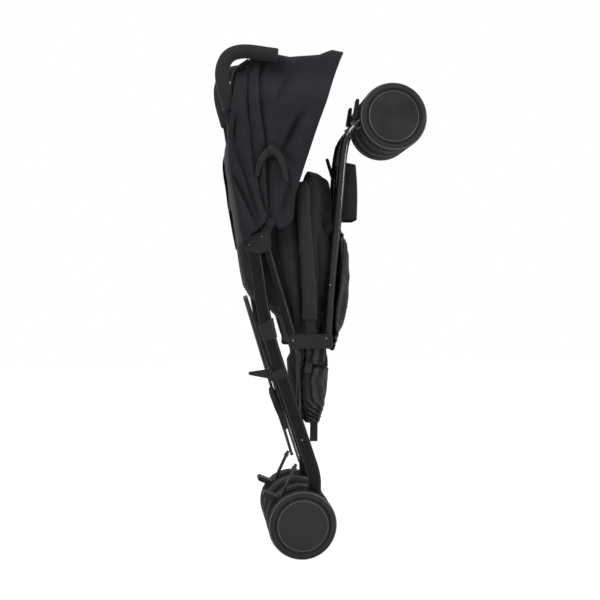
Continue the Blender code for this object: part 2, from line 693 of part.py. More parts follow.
def seat_rail(make, side, tag, body):
    """The thin rail that swings back from the knee under the seat."""
    route = bent((KNEE, *RAIL_PATH), 0.010, steps=2)
    first = (route[0] - route[1]).normalized()
    route = [route[0] + first * RAIL_EYE_R * 0.9, route[0],
             route[0].lerp(route[1], 0.75)] + route[1:]
    widths = [RAIL_EYE_R * 0.5, RAIL_EYE_R, RAIL_R * 1.1] + [RAIL_R] * (len(route) - 3)
    shape = Shape().tube(route, RAIL_LANE, widths, RAIL_R, sides=10)
    made = make.put(f"seat_rail_{tag}", shape, side, body, "gloss_paint")
    bore = Shape().disc(KNEE, PIN_R + GAP, RAIL_LANE - 2 * RAIL_R, RAIL_LANE + 2 * RAIL_R)
    make.combine(made, bore, side, body, "DIFFERENCE")


def cross_bar(make, side, tag, body):
    """One rod of the rear X: eye on its own leg's lug, top end towards the other leg."""
    rise = (BAR_TOP - BAR_BOTTOM).normalized()
    back = Vector((-rise.y, rise.x))
    layer = back * BAR_LAYER * side
    low, high = BAR_BOTTOM + layer, BAR_TOP + layer
    start = Vector((low.x, BAR_LANE, low.y))
    end = Vector((high.x, -BAR_LANE, high.y))
    made = make.put(f"cross_bar_{tag}", Shape().rod(start, end, BAR_R), side, body, "steel")
    for spot in (start, end):
        half = Vector((back.x, 0, back.y)) * BAR_R * 0.97
        make.combine(made, Shape().rod(spot - half, spot + half, BAR_EYE_R, 14), side, body,
                     "UNION")


def fold_lever(make, side, body):
    """The foot lever on the right rear leg that lets the frame go."""
    half = REAR_TUBE_WIDTH / 2
    down = (Vector(REAR_LEG[2]) - Vector(REAR_LEG[1])).normalized()
    back = Vector((down.y, -down.x))
    near = LEVER_PIVOT + back * (half + LEVER_CLEAR)
    far = near + back * LEVER_WEB_T
    ear = hull((LEVER_PIVOT, LEVER_HUB_R), (far - down * 0.006, 0.002), (far + down * 0.006, 0.002))
    shape = Shape().plate(ear, CHEEK_OUT, CHEEK_OUT + CHEEK_T, 0.0008)
    made = make.put("fold_lever", shape, side, body, "plastic")
    low = MAIN_LANE - 0.007
    web = hull((near + back * 0.002 - down * 0.006, 0.002), (near + back * 0.002 + down * 0.006, 0.002),
               (far + back * 0.002, 0.002))
    make.combine(made, Shape().plate(web, low, CHEEK_OUT + 0.5 * CHEEK_T), side, body, "UNION")
    horn = hull((far - down * 0.003, 0.006), (LEVER_ROOT, 0.009), (LEVER_TIP, 0.003))
    make.combine(made, Shape().plate(horn, low + 0.001, CHEEK_OUT + 0.5 * CHEEK_T, 0.001), side,
                 body, "UNION")


def along_curve(points, t):
    """The point a share t of the way along a line of points."""
    route = flat(points)
    lengths = [(b - a).length for a, b in zip(route, route[1:])]
    left = t * sum(lengths)
    for (a, b), length in zip(zip(route, route[1:]), lengths):
        if left <= length or (a, b) == (route[-2], route[-1]):
            return a.lerp(b, min(left / length, 1.0))
        left -= length
    return route[-1]


def wall_distance(z):
    """How far the canopy's side lies from the middle: it draws in above the push tube's bend."""
    t = min(max((z - WALL_LOW) / (WALL_HIGH - WALL_LOW), 0.0), 1.0)
    ease = t * t * (3 - 2 * t)
    return CANOPY_WALL + (CANOPY_TOP_WALL - CANOPY_WALL) * ease


def edge_rows(points, levels):
    """Shares along an edge at which given heights are reached."""
    shares = []
    for level in levels:
        low, high = 0.0, 1.0
        for _ in range(24):
            middle = 0.5 * (low + high)
            if along_curve(points, middle).y < level:
                low = middle
            else:
                high = middle
        shares.append(0.5 * (low + high))
    return shares


def canopy_rear(make, side, tag, body):
    """The hood behind the binding bow, with the flap that hangs over the push tube."""
    levels = (0.684, 0.712, 0.747, 0.782, 0.810, 0.847, 0.8745, 0.8855, 0.900, 0.918, 0.935, 0.969)
    rear_shares = edge_rows(REAR_EDGE, levels)
    scale = [(level - levels[0]) / (levels[-1] - levels[0]) for level in levels]
    bow_low, bow_high = BIND_BOW[0][1], BIND_BOW[-1][1]
    bow_levels = [bow_low + (bow_high - bow_low) * share for share in scale]
    bow_shares = edge_rows(BIND_BOW, bow_levels)
    grid = []
    columns = 8
    for row_index, (a, b) in enumerate(zip(rear_shares, bow_shares)):
        start, end = along_curve(REAR_EDGE, a), along_curve(BIND_BOW, b)
        rise = math.sin(math.pi * scale[row_index])
        row = []
        for column in range(columns + 1):
            t = column / columns
            spot = start.lerp(end, t)
            dip = PLEAT_DEPTH * rise * 0.5 * (1 - math.cos(2 * math.pi * REAR_PLEATS * t))
            row.append((spot.x, wall_distance(spot.y) - dip, spot.y))
        grid.append(row)
    grid += roof_rows(grid[-1])
    made = make.put(f"canopy_rear_{tag}", Shape().sheet(grid), side, body, "canopy_cloth", CLOTH_T)
    make.combine(made, canopy_back(), side, body, "UNION")


def canopy_back():
    """Half of the back panel between the push tubes, from its hem up to the roof."""
    rows = [(z, x, CANOPY_TOP_WALL) for z, x in BACK_ROWS]
    level, lean = BACK_ROWS[-1]
    for turn in (30, 60, 90):
        angle = math.radians(turn)
        rows.append((level + (ROOF_CORNER + 0.0015) * math.sin(angle),
                     lean + (BACK_TOP_X - lean) * math.sin(angle),
                     CANOPY_TOP_WALL - ROOF_CORNER * (1 - math.cos(angle))))
    rings = []
    for z, x, wall in rows:
        ring = []
        for inset in (0.0, CLOTH_T):
            face = wall - 0.0002 - inset
            line = [(BACK_JOIN, face), (x + BACK_CORNER, face),
                    (x + 0.3 * BACK_CORNER + 0.7 * inset, face - 0.3 * (BACK_CORNER - inset)),
                    (x + inset, wall - BACK_CORNER), (x + inset, MIDDLE)]
            ring += line if inset == 0.0 else line[::-1]
        rings.append([(px, py, z) for px, py in ring])
    shape = Shape()
    shape.loft(rings)
    return shape


def roof_rows(top):
    """Carry the wall's top row round the corner and on to the middle plane."""
    rows = []
    for turn in (30, 60, 90):
        angle = math.radians(turn)
        rows.append([(x, y - ROOF_CORNER * (1 - math.cos(angle)),
                      z + ROOF_CORNER * math.sin(angle)) for x, y, z in top])
    edge = rows[-1]
    for share in (0.5, 1.0):
        rows.append([(x, y + (MIDDLE - y) * share, z + 0.002 * share) for x, y, z in edge])
    return rows


def canopy_front(make, side, tag, body):
    """The hood in front of the binding bow; it swings about the clip."""
    rear = [(x + BOW_SPLIT, z) for x, z in BIND_BOW]
    shares = (0.0, 0.10, 0.20, 0.30, 0.40, 0.46, 0.52, 0.58, 0.64, 0.76, 0.88, 0.97)
    grid = []
    columns = 8
    for share in shares:
        start, end = along_curve(rear, share), along_curve(FRONT_EDGE, share)
        rise = math.sin(math.pi * share)
        row = []
        for column in range(columns + 1):
            t = column / columns
            spot = start.lerp(end, t)
            dip = PLEAT_DEPTH * rise * 0.5 * (1 - math.cos(2 * math.pi * FRONT_PLEATS * t))
            row.append((spot.x, wall_distance(spot.y) - dip, spot.y))
        grid.append(row)
    grid += roof_rows(grid[-1])
    make.put(f"canopy_front_{tag}", Shape().sheet(grid), side, body, "canopy_cloth", CLOTH_T)


def stretcher(make, side, tag, rear_body, front_body):
    """The two arms of the canopy's elbow stretcher."""
    low = CANOPY_WALL + 0.5 * CLOTH_T + GAP
    rear = Shape().plate(hull((ARM_PIVOT, ARM_R), (ARM_ELBOW, ELBOW_R)), low, low + ARM_T, 0.0006)
    make.put(f"stretcher_rear_{tag}", rear, side, rear_body, "plastic")
    mid = low + ARM_T + GAP
    front = Shape().plate(hull((ARM_ELBOW, ELBOW_R), (ARM_FRONT, ARM_R)), mid, mid + ARM_T, 0.0006)
    made = make.put(f"stretcher_front_{tag}", front, side, front_body, "plastic")
    stud = Shape().disc(ARM_FRONT, ARM_R - 0.001, low, mid + 0.5 * ARM_T)
    make.combine(made, stud, side, front_body, "UNION")


def bundle(rows, rear_y, front_y, dips, corner=0.05):
    """Half of a gathered cloth bundle; rows are (height, rear x, front x, fullness)."""
    rings = []
    for z, x0, x1, full in rows:
        rear, front = rear_y * full, front_y * full
        step = min(max((0.002 - x0) / (x1 - x0), 0.15), 0.80) if rear_y != front_y else 0.5
        stops = ((0.0, 0.60 * rear), (corner, rear), (0.35 * step, rear),
                 (0.60 * step, rear - dips), (0.85 * step, rear), (min(step + 0.08, 0.88), front),
                 (0.94, 0.88 * front), (1.0, 0.5 * front))
        ring = [(x0, MIDDLE, z)]
        ring += [(x0 + (x1 - x0) * share, y, z) for share, y in stops]
        ring.append((x1, MIDDLE, z))
        rings.append(ring)
    shape = Shape()
    shape.loft(rings)
    return shape


def seat_fabric(make, side, tag, body):
    shape = bundle(SEAT_ROWS, SEAT_REAR_Y, SEAT_FRONT_Y, PLEAT_DEPTH)
    make.put(f"seat_fabric_{tag}", shape, side, body, "seat_cloth")


def seat_pad(make, side, tag, body):
    """The padded bolster beside the seat: a long pillow with drawn-in ends."""
    lane = SEAT_REAR_Y + GAP + PAD_HALF_T
    axis = (PAD_BOTTOM - PAD_TOP).normalized()
    rings = []
    for share, fullness in ((0.0, 0.45), (0.04, 0.80), (0.12, 1.0), (0.33, 0.96), (0.355, 0.86),
                            (0.38, 0.96), (0.65, 1.0), (0.90, 0.96), (0.97, 0.85), (1.0, 0.55)):
        spot = PAD_TOP.lerp(PAD_BOTTOM, share)
        rings.append(Shape.section(None, spot, axis, lane, PAD_HALF_W * fullness,
                                   PAD_HALF_T * fullness, 12, PAD_OVAL))
    shape = Shape()
    shape.loft(rings)
    make.put(f"seat_pad_{tag}", shape, side, body, "seat_cloth")


def basket(make, side, tag, body):
    """The folded basket that hangs from the seat rail."""
    shape = bundle(BASKET_ROWS, BASKET_Y, BASKET_Y - 0.016, PLEAT_DEPTH)
    make.put(f"basket_{tag}", shape, side, body, "basket_nylon")


def basket_front(make, side, tag, body):
    """The basket's front panel, gathered across the front of the front legs."""
    leg = flat(FRONT_LEG)
    rows = []
    for z, front, full in BASKET_FRONT_ROWS:
        upper = next(i for i, point in enumerate(leg) if point.y > z)
        low, high = leg[max(upper - 1, 0)], leg[max(upper, 1)]
        t = (z - low.y) / (high.y - low.y)
        rows.append((z, low.lerp(high, t).x + FRONT_TUBE_R - 2 * GAP, front, full))
    shape = bundle(rows, BASKET_FRONT_Y, BASKET_FRONT_Y, 0.5 * PLEAT_DEPTH)
    make.put(f"basket_front_{tag}", shape, side, body, "basket_nylon")


def footrest(make, side, tag, body):
    """The footrest band, looped forward between the front legs."""
    wall = FRONT_LANE - FRONT_TUBE_R - 0.5 * CLOTH_T - GAP
    bend = FOOTREST_CORNER
    plan = [(FOOTREST_BACK, wall), (0.5 * (FOOTREST_BACK + FOOTREST_FRONT), wall),
            (FOOTREST_FRONT - bend, wall), (FOOTREST_FRONT - 0.3 * bend, wall - 0.3 * bend),
            (FOOTREST_FRONT, wall - bend), (FOOTREST_FRONT, 0.5 * wall), (FOOTREST_FRONT, MIDDLE)]
    grid = []
    for share in (0.0, 0.5, 1.0):
        row = []
        for x, y in plan:
            drop = FOOTREST_DROP * (x - FOOTREST_BACK) / (FOOTREST_FRONT - FOOTREST_BACK)
            z = FOOTREST_BOTTOM + (FOOTREST_TOP - drop - FOOTREST_BOTTOM) * share
            row.append((x, y, z))
        grid.append(row)
    make.put(f"footrest_{tag}", Shape().sheet(grid), side, body, "seat_cloth", CLOTH_T)


def build_side(make, tag, side):
    """Every body and sub-part of one side."""
    main_y, front_y = side * MAIN_LANE, side * FRONT_LANE
    frame = make.body(f"frame_{tag}", (0, 0), 0, make.root)
    rear = make.body(f"rear_leg_body_{tag}", HINGE, main_y, frame)
    front = make.body(f"front_leg_body_{tag}", KNEE, front_y, frame)
    rail = make.body(f"seat_rail_body_{tag}", KNEE, side * RAIL_LANE, frame)
    hood = make.body(f"canopy_body_{tag}", CLIP, side * CANOPY_WALL, frame)
    arm = make.body(f"stretcher_rear_body_{tag}", ARM_PIVOT, side * CANOPY_WALL, frame)
    elbow = make.body(f"stretcher_front_body_{tag}", ARM_ELBOW, side * CANOPY_WALL, arm)
    bar = make.body(f"cross_bar_body_{tag}", BAR_BOTTOM, side * BAR_LANE, rear)
    brake = make.body(f"brake_body_{tag}", BRAKE_PIVOT, main_y, rear)
    rear_wheels = make.body(f"rear_wheel_body_{tag}", rear_axle_point(), main_y, rear)
    caster = make.body(f"caster_body_{tag}", FRONT_LEG[-1], front_y, front)
    front_wheels = make.body(f"front_wheel_body_{tag}", FRONT_AXLE, front_y, caster)
    lock = make.body(f"swivel_lock_body_{tag}", lock_pivot(), front_y, front)

    grip_and_push_tube(make, side, tag, frame)
    hinge_bracket(make, side, tag, frame)
    canopy_rear(make, side, tag, frame)
    seat_fabric(make, side, tag, frame)
    seat_pad(make, side, tag, frame)
    canopy_front(make, side, tag, hood)
    stretcher(make, side, tag, arm, elbow)
    rear_leg(make, side, tag, rear)
    leg_collar(make, side, tag, rear)
    rear_fork(make, side, tag, rear)
    brake_lever(make, side, tag, brake)
    brake_rod(make, side, tag, brake)
    cross_bar(make, side, tag, bar)
    wheel_pair(make, side, "rear", tag, rear_wheels, rear_axle_point(), MAIN_LANE, REAR_WHEEL_R,
               REAR_WHEEL_W, REAR_TWIN, FORK_W)
    front_leg(make, side, tag, front)
    knee_plate(make, side, tag, front)
    basket_front(make, side, tag, front)
    footrest(make, side, tag, front)
    swivel_lock(make, side, tag, lock)
    front_fork(make, side, tag, caster)
    wheel_pair(make, side, "front", tag, front_wheels, FRONT_AXLE, FRONT_LANE, FRONT_WHEEL_R,
               FRONT_WHEEL_W, FRONT_TWIN, CASTER_W)
    seat_rail(make, side, tag, rail)
    basket(make, side, tag, rail)
    if tag == "right":
        lever = make.body("fold_lever_body", LEVER_PIVOT, main_y, rear)
        fold_lever(make, side, lever)


def main():
    for old in list(bpy.data.objects):
        bpy.data.objects.remove(old, do_unlink=True)
    make = Builder()
    for tag, side in SIDES:
        build_side(make, tag, side)
    bpy.context.view_layer.update()


main()
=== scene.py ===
"""Looks for the folded umbrella stroller: cloth, foam, tubes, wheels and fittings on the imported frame.

Every new surface is a grid of points worked out with numpy. Lengths are metres in the row frame:
+Z up, +X towards the folded front wheels, right side at -Y. Most pieces are drawn once for the
right side and mirrored for the left.
"""
import json
import math

import bmesh
import bpy
import numpy as np
from bpy.props import FloatProperty, FloatVectorProperty, IntProperty, PointerProperty
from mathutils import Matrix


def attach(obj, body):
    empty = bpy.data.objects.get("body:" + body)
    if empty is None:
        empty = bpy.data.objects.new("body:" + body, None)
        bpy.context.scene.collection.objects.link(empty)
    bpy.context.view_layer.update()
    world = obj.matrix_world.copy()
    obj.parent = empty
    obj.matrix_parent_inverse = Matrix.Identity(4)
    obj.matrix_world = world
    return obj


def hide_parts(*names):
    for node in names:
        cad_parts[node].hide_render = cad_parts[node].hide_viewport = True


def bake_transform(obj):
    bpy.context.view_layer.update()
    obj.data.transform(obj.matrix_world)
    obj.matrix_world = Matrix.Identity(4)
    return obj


bl_info = {
    "name": "Umbrella Stroller",
    "version": (1, 0, 0),
    "blender": (4, 5, 0),
    "location": "View3D > Sidebar > Stroller",
    "description": "Dresses the folded umbrella stroller's frame with its cloth, foam, tubes and wheels",
    "category": "Add Mesh",
}

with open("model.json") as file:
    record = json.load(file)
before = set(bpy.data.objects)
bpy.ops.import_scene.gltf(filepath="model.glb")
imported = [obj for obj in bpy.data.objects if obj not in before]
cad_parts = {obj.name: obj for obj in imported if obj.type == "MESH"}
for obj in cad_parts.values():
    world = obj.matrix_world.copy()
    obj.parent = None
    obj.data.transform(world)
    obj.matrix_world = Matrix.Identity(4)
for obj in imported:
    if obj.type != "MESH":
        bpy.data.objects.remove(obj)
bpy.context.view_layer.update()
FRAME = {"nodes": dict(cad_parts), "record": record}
SIDES = (("right", -1), ("left", 1))

# Moves along X: of the tube and wheel routes within the drawing, and of the whole drawing onto the frame
SHIFT = -0.001
PLACE = -0.0034

# Lanes and radii that repeat the frame's own
MAIN_LANE = 0.085
FRONT_LANE = 0.047
TUBE_R = 0.0095
FRONT_R = 0.0085
REAR_HALF = 0.013
CHEEK_OUT = 0.0978
KNEE_OUT = 0.0988
CLOTH = 0.0016

# Canopy: how far out its side lies below and above the bend, where the bend starts and how high it
# is, the least that a flap lies out over the push tube, and the back panel's edge
WALL = 0.1018
TOP_WALL = 0.0655
BEND_Z = 0.905
BEND_RISE = 0.075
FLAP_OUT = 0.0985
BACK_EDGE = TOP_WALL - 0.0005

# Wheels: tyre radius, tyre width, distance between the twins, fork width. Tyre shape: depth below
# the tread and share of the half width. Highlight ring, a light raised ring that is the tyre shoulder's
# painted highlight: its share of the half width, and half its own width
REAR_WHEEL = (0.0680, 0.024, 0.0735, 0.029)
FRONT_WHEEL = (0.0698, 0.018, 0.042, 0.021)
TYRE_DEPTH = 0.0135
TYRE_SHAPE = ((-0.0132, 0.78), (-0.0128, 0.92), (-0.0118, 0.99), (-0.0062, 0.97), (-0.0056, 0.91),
              (-0.0049, 0.93), (-0.0030, 0.80), (-0.0012, 0.60), (-0.0003, 0.36), (0.0, 0.30),
              (0.0, 0.06), (-0.0008, 0.03))
HIGHLIGHT_RING_SHARE = 0.83
HIGHLIGHT_RING_HALF = 0.0004

# Camera: focal length and picture width in pixels, then its place in metres
FOCAL_PIXELS = 950
PICTURE_PIXELS = 600
SENSOR = 36
CAMERA_AWAY = 2.0
CAMERA_ASIDE = -0.0345
CAMERA_UP = 0.512
CAMERA_SLOPE = 0.106

# Routes as (x, z)
CROOK = ((-0.0875, 1.0034), (-0.1560, 1.0120), (-0.1870, 1.0020), (-0.2000, 0.9750),
         (-0.1985, 0.9420), (-0.1833, 0.8897))
HINGE = (-0.1430, 0.6239)
KNEE = (-0.0557, 0.4306)
PUSH_TUBE = ((-0.1775, 0.8507), (-0.1690, 0.8103), (-0.1195, 0.6531), (-0.1120, 0.6215), KNEE)
REAR_LEG = (HINGE, (-0.1327, 0.6027), (-0.1130, 0.4616), (-0.0300, 0.2096), (-0.0129, 0.1592),
            (-0.0129, 0.1229))
FRONT_LEG = ((0.0187, 0.4341), (0.0249, 0.5300), (0.0430, 0.7171), (0.0475, 0.7786),
             (0.0505, 0.8120), (0.0580, 0.8500), (0.0817, 0.8758))
REAR_AXLE = (-0.0415, 0.0674)
FRONT_AXLE = (0.1520, 0.8883)


# Curves and grids

def shifted(points):
    """(x, z) points moved back by SHIFT."""
    return np.array(points, float) + np.array([SHIFT, 0.0])


def rounded(points, reach, steps=8):
    """A route whose corners are quadratic curves: (1-t)^2 a + 2t(1-t) b + t^2 c."""
    route = np.array(points, float)
    made = [route[:1]]
    t = np.linspace(0, 1, steps)[:, None]
    for before, corner, after in zip(route, route[1:], route[2:]):
        back, ahead = before - corner, after - corner
        a = corner + back * min(reach / np.linalg.norm(back), 0.45)
        c = corner + ahead * min(reach / np.linalg.norm(ahead), 0.45)
        made.append(a * (1 - t) ** 2 + 2 * t * (1 - t) * corner + c * t ** 2)
    made.append(route[-1:])
    return np.vstack(made)


def lengths(path):
    """Distance along a path at each of its points."""
    return np.concatenate([[0.0], np.cumsum(np.linalg.norm(np.diff(path, axis=0), axis=1))])


def at(path, s):
    """Points of a path at given distances along it."""
    known = lengths(path)
    return np.stack([np.interp(s, known, path[:, k]) for k in range(path.shape[1])], axis=1)


def spread(path, count):
    """A path again with evenly spaced points."""
    return at(path, np.linspace(0, lengths(path)[-1], count))


def curve(points, count):
    """A smooth curve through points: cubic Hermite pieces with Catmull-Rom slopes."""
    p = np.array(points, float)
    slopes = np.gradient(p, axis=0)
    t = np.linspace(0, len(p) - 1, 8 * len(p))
    i = np.minimum(t.astype(int), len(p) - 2)
    f = (t - i)[:, None]
    h00, h10 = 2 * f ** 3 - 3 * f ** 2 + 1, f ** 3 - 2 * f ** 2 + f
    h01, h11 = -2 * f ** 3 + 3 * f ** 2, f ** 3 - f ** 2
    fine = h00 * p[i] + h10 * slopes[i] + h01 * p[i + 1] + h11 * slopes[i + 1]
    return spread(fine, count)


def in_lane(path, lane):
    """An (x, z) path placed at a distance from the middle plane, on the right side."""
    return np.stack([path[:, 0], np.full(len(path), -lane), path[:, 1]], axis=1)


def swept(path, width, depth, sides=28, power=2.0):
    """Rings across a path: width lies square to the path in X-Z, depth along Y.

    Each ring is the superellipse |a/width|^p + |b/depth|^p = 1.
    """
    tangent = np.gradient(path, axis=0)
    tangent /= np.linalg.norm(tangent, axis=1)[:, None]
    guide = np.where(np.abs(tangent[:, 1:2]) > 0.9, [[0, 0, 1.0]], [[0, 1.0, 0]])
    across = np.cross(tangent, guide)
    across /= np.linalg.norm(across, axis=1)[:, None]
    out = np.cross(across, tangent)
    turn = 2 * np.pi * np.arange(sides) / sides
    a = np.sign(np.cos(turn)) * np.abs(np.cos(turn)) ** (2 / power)
    b = np.sign(np.sin(turn)) * np.abs(np.sin(turn)) ** (2 / power)
    w = np.broadcast_to(np.asarray(width, float), len(path))[:, None, None]
    d = np.broadcast_to(np.asarray(depth, float), len(path))[:, None, None]
    return (path[:, None] + across[:, None] * a[None, :, None] * w
            + out[:, None] * b[None, :, None] * d)


def turned(profile, centre, sides=48, lobes=None):
    """A (radius, y) profile turned about an axis along Y; lobes shifts y by angle and radius."""
    p = np.array(profile, float)
    turn = 2 * np.pi * np.arange(sides) / sides
    r, y = p[:, 0:1], np.repeat(p[:, 1:2], sides, axis=1)
    if lobes is not None:
        y = y + lobes(r, turn[None])
    return np.stack([centre[0] + r * np.cos(turn), y, centre[1] + r * np.sin(turn)], axis=2)


def plate(outline, y0, y1, edge=0.0008):
    """Rings that extrude an outline along Y with quarter-round edges of radius edge."""
    line = np.array(outline, float)
    ahead, behind = np.roll(line, -1, axis=0), np.roll(line, 1, axis=0)
    along = ahead - behind
    normal = np.stack([along[:, 1], -along[:, 0]], axis=1)
    normal /= np.maximum(np.linalg.norm(normal, axis=1)[:, None], 1e-9)
    if np.sum(line[:, 0] * ahead[:, 1] - ahead[:, 0] * line[:, 1]) < 0:
        normal = -normal
    turn = np.linspace(0, np.pi / 2, 4)
    near = [(edge * (1 - math.sin(t)), y0 + edge * (1 - math.cos(t))) for t in turn]
    far = [(inset, y0 + y1 - y) for inset, y in reversed(near)]
    rings = []
    for inset, y in near + far:
        spots = line - normal * inset
        rings.append(np.stack([spots[:, 0], np.full(len(line), -y), spots[:, 1]], axis=1))
    return np.array(rings)


def mirrored(grids, side):
    """Grids drawn for the right side, turned over for the left one."""
    flip = np.array([1.0, -side, 1.0])
    return [(points * flip, *rest) for points, *rest in grids]


def creased(x, z, folds):
    """Sum of folds; each is a ridge h exp(-(d/w)^2) about the line from (x0, z0) to (x1, z1)."""
    total = np.zeros_like(x)
    for x0, z0, x1, z1, width, height in folds:
        run = np.array([x1 - x0, z1 - z0])
        size = np.linalg.norm(run)
        t = np.clip(((x - x0) * run[0] + (z - z0) * run[1]) / size ** 2, 0, 1)
        away = np.hypot(x - x0 - t * run[0], z - z0 - t * run[1])
        taper = 0.35 + 0.65 * np.sin(np.pi * np.clip(t, 0.02, 0.98)) ** 0.7
        total += height * taper * np.exp(-(away / width) ** 2)
    return total


def noise(u, v, seed):
    """Smooth value noise between -1 and 1 on a seeded lattice of one unit."""
    table = np.random.default_rng(seed).uniform(-1, 1, (64, 64))
    i, j = np.floor(u).astype(int), np.floor(v).astype(int)
    f, g = u - i, v - j
    f, g = f * f * (3 - 2 * f), g * g * (3 - 2 * g)
    a, b = table[i % 64, j % 64], table[(i + 1) % 64, j % 64]
    c, d = table[i % 64, (j + 1) % 64], table[(i + 1) % 64, (j + 1) % 64]
    return (a * (1 - f) + b * f) * (1 - g) + (c * (1 - f) + d * f) * g


# Meshes

# How a grid closes: joins its last row to its first, its last column to its first, caps its ends
SHEET = (False, False, False)
TUBE = (False, True, False)
CAPPED = (False, True, True)
RING = (True, True, False)


def grid_faces(rows, cols, wrap_rows, wrap_cols):
    """Corner numbers of a grid's quads, as an array of four columns."""
    i = np.arange(rows if wrap_rows else rows - 1)
    j = np.arange(cols if wrap_cols else cols - 1)
    i, j = np.meshgrid(i, j, indexing="ij")
    i2, j2 = (i + 1) % rows, (j + 1) % cols
    return np.stack([i * cols + j, i * cols + j2, i2 * cols + j2, i2 * cols + j], axis=2).reshape(-1, 4)


def grid_uv(points, wrap_rows, wrap_cols):
    """Length along the grid at every quad corner, so that a weave keeps one scale."""
    rows, cols = points.shape[:2]
    middle_row, middle_col = points[rows // 2], points[:, cols // 2]
    if wrap_cols:
        middle_row = np.vstack([middle_row, middle_row[:1]])
    if wrap_rows:
        middle_col = np.vstack([middle_col, middle_col[:1]])
    u, v = lengths(middle_row), lengths(middle_col)
    i = np.arange(rows if wrap_rows else rows - 1)
    j = np.arange(cols if wrap_cols else cols - 1)
    i, j = np.meshgrid(i, j, indexing="ij")
    corners = [(u[j], v[i]), (u[j + 1], v[i]), (u[j + 1], v[i + 1]), (u[j], v[i + 1])]
    return np.stack([np.stack(c, axis=2) for c in corners], axis=2).reshape(-1, 2)


def piece(name, grids, material, sharp=40.0, thick=0.0):
    """One object from (points, wrap rows, wrap columns, cap ends) grids, moved along X by PLACE."""
    verts, faces, uvs = [], [], []
    count = 0
    for points, wrap_rows, wrap_cols, caps in grids:
        points = points + [PLACE, 0.0, 0.0]
        rows, cols = points.shape[:2]
        verts.append(points.reshape(-1, 3))
        faces += (grid_faces(rows, cols, wrap_rows, wrap_cols) + count).tolist()
        uvs.append(grid_uv(points, wrap_rows, wrap_cols))
        if caps:
            for start in (0, (rows - 1) * cols):
                faces.append((np.arange(cols) + start + count).tolist())
                ring = points.reshape(-1, 3)[start:start + cols]
                uvs.append(ring[:, [0, 2]] + ring[:, [1, 1]] * [0.5, 0.5])
        count += rows * cols
    mesh = bpy.data.meshes.new(name)
    mesh.from_pydata(np.vstack(verts).tolist(), [], faces)
    layer = mesh.uv_layers.new(name="UVMap")
    layer.data.foreach_set("uv", np.vstack(uvs).ravel())
    work = bmesh.new()
    work.from_mesh(mesh)
    bmesh.ops.remove_doubles(work, verts=work.verts, dist=1e-6)
    bmesh.ops.recalc_face_normals(work, faces=work.faces)
    work.to_mesh(mesh)
    work.free()
    mesh.shade_smooth()
    mesh.set_sharp_from_angle(angle=math.radians(sharp))
    mesh.materials.append(material)
    made = bpy.data.objects.new(name, mesh)
    bpy.context.scene.collection.objects.link(made)
    if thick:
        solid = made.modifiers.new("cloth thickness", "SOLIDIFY")
        solid.thickness = thick
        solid.offset = 0.0
    return made


def finish_piece(made, body, slot, *nodes):
    """Hang a piece on its body and hide the nodes that it stands for; the slot argument is not used."""
    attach(made, body)
    if nodes:
        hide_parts(*nodes)
    return made


def fitted(name, grids, side, key, body, slot, *nodes, sharp=40.0, thick=0.0):
    """A piece drawn for the right side, turned to its own side, finished and hung on its body."""
    made = piece(name, mirrored(grids, side), finish(key), sharp, thick)
    return finish_piece(made, body, slot, *nodes)


def dome(x, z, face, radius, height):
    """A rivet head: a quarter ellipse turned about Y, on a face at a distance from the middle plane."""
    t = np.linspace(0, np.pi / 2, 6)
    profile = [(radius, -face)]
    profile += [(radius * math.cos(a), -(face + height * math.sin(a))) for a in t]
    return (turned(profile, (x, z), 18), *TUBE)


# Materials

def shader(name, colour, roughness, metallic=0.0, **sockets):
    """A Principled material; returns it with its node tree and shader."""
    made = bpy.data.materials.new(name)
    made.use_nodes = True
    made.diffuse_color = (*colour, 1.0)
    tree = made.node_tree
    node = tree.nodes["Principled BSDF"]
    node.inputs["Base Color"].default_value = (*colour, 1.0)
    node.inputs["Roughness"].default_value = roughness
    node.inputs["Metallic"].default_value = metallic
    for label, value in sockets.items():
        node.inputs[label.replace("_", " ")].default_value = value
    return made, tree, node


def link(tree, source, output, target, socket):
    """Join one node's output to another's input."""
    tree.links.new(source.outputs[output], target.inputs[socket])


def coordinates(tree, kind, scale=(1.0, 1.0, 1.0)):
    """Object or UV coordinates, each multiplied by its scale."""
    place = tree.nodes.new("ShaderNodeTexCoord")
    mapping = tree.nodes.new("ShaderNodeMapping")
    mapping.inputs["Scale"].default_value = scale
    link(tree, place, kind, mapping, "Vector")
    return mapping


def noise_node(tree, mapping, scale, detail=4.0, rough=0.55):
    """Noise of scale waves per metre, with detail halvings of the wave."""
    made = tree.nodes.new("ShaderNodeTexNoise")
    made.inputs["Scale"].default_value = scale
    made.inputs["Detail"].default_value = detail
    made.inputs["Roughness"].default_value = rough
    link(tree, mapping, "Vector", made, "Vector")
    return made


def ramp(tree, source, output, low, high, start=0.3, end=0.7):
    """A straight ramp from the low colour at start to the high one at end."""
    made = tree.nodes.new("ShaderNodeValToRGB")
    made.color_ramp.elements[0].color = (*low, 1.0)
    made.color_ramp.elements[1].color = (*high, 1.0)
    made.color_ramp.elements[0].position = start
    made.color_ramp.elements[1].position = end
    link(tree, source, output, made, "Fac")
    return made


def bump(tree, shade, source, output, distance, strength=1.0, under=None):
    """Height from a node's output, times distance, on top of the bump under it."""
    made = tree.nodes.new("ShaderNodeBump")
    made.inputs["Strength"].default_value = strength
    made.inputs["Distance"].default_value = distance
    link(tree, source, output, made, "Height")
    if under:
        link(tree, under, "Normal", made, "Normal")
    link(tree, made, "Normal", shade, "Normal")
    return made


def varied(tree, shade, colour, spread_by, source):
    """Drive the base colour between a darker and a lighter tint of one colour."""
    dark = tuple(c * (1 - spread_by) for c in colour)
    light = tuple(c * (1 + spread_by) for c in colour)
    tint = ramp(tree, source, "Fac", dark, light, 0.35, 0.65)
    link(tree, tint, "Color", shade, "Base Color")


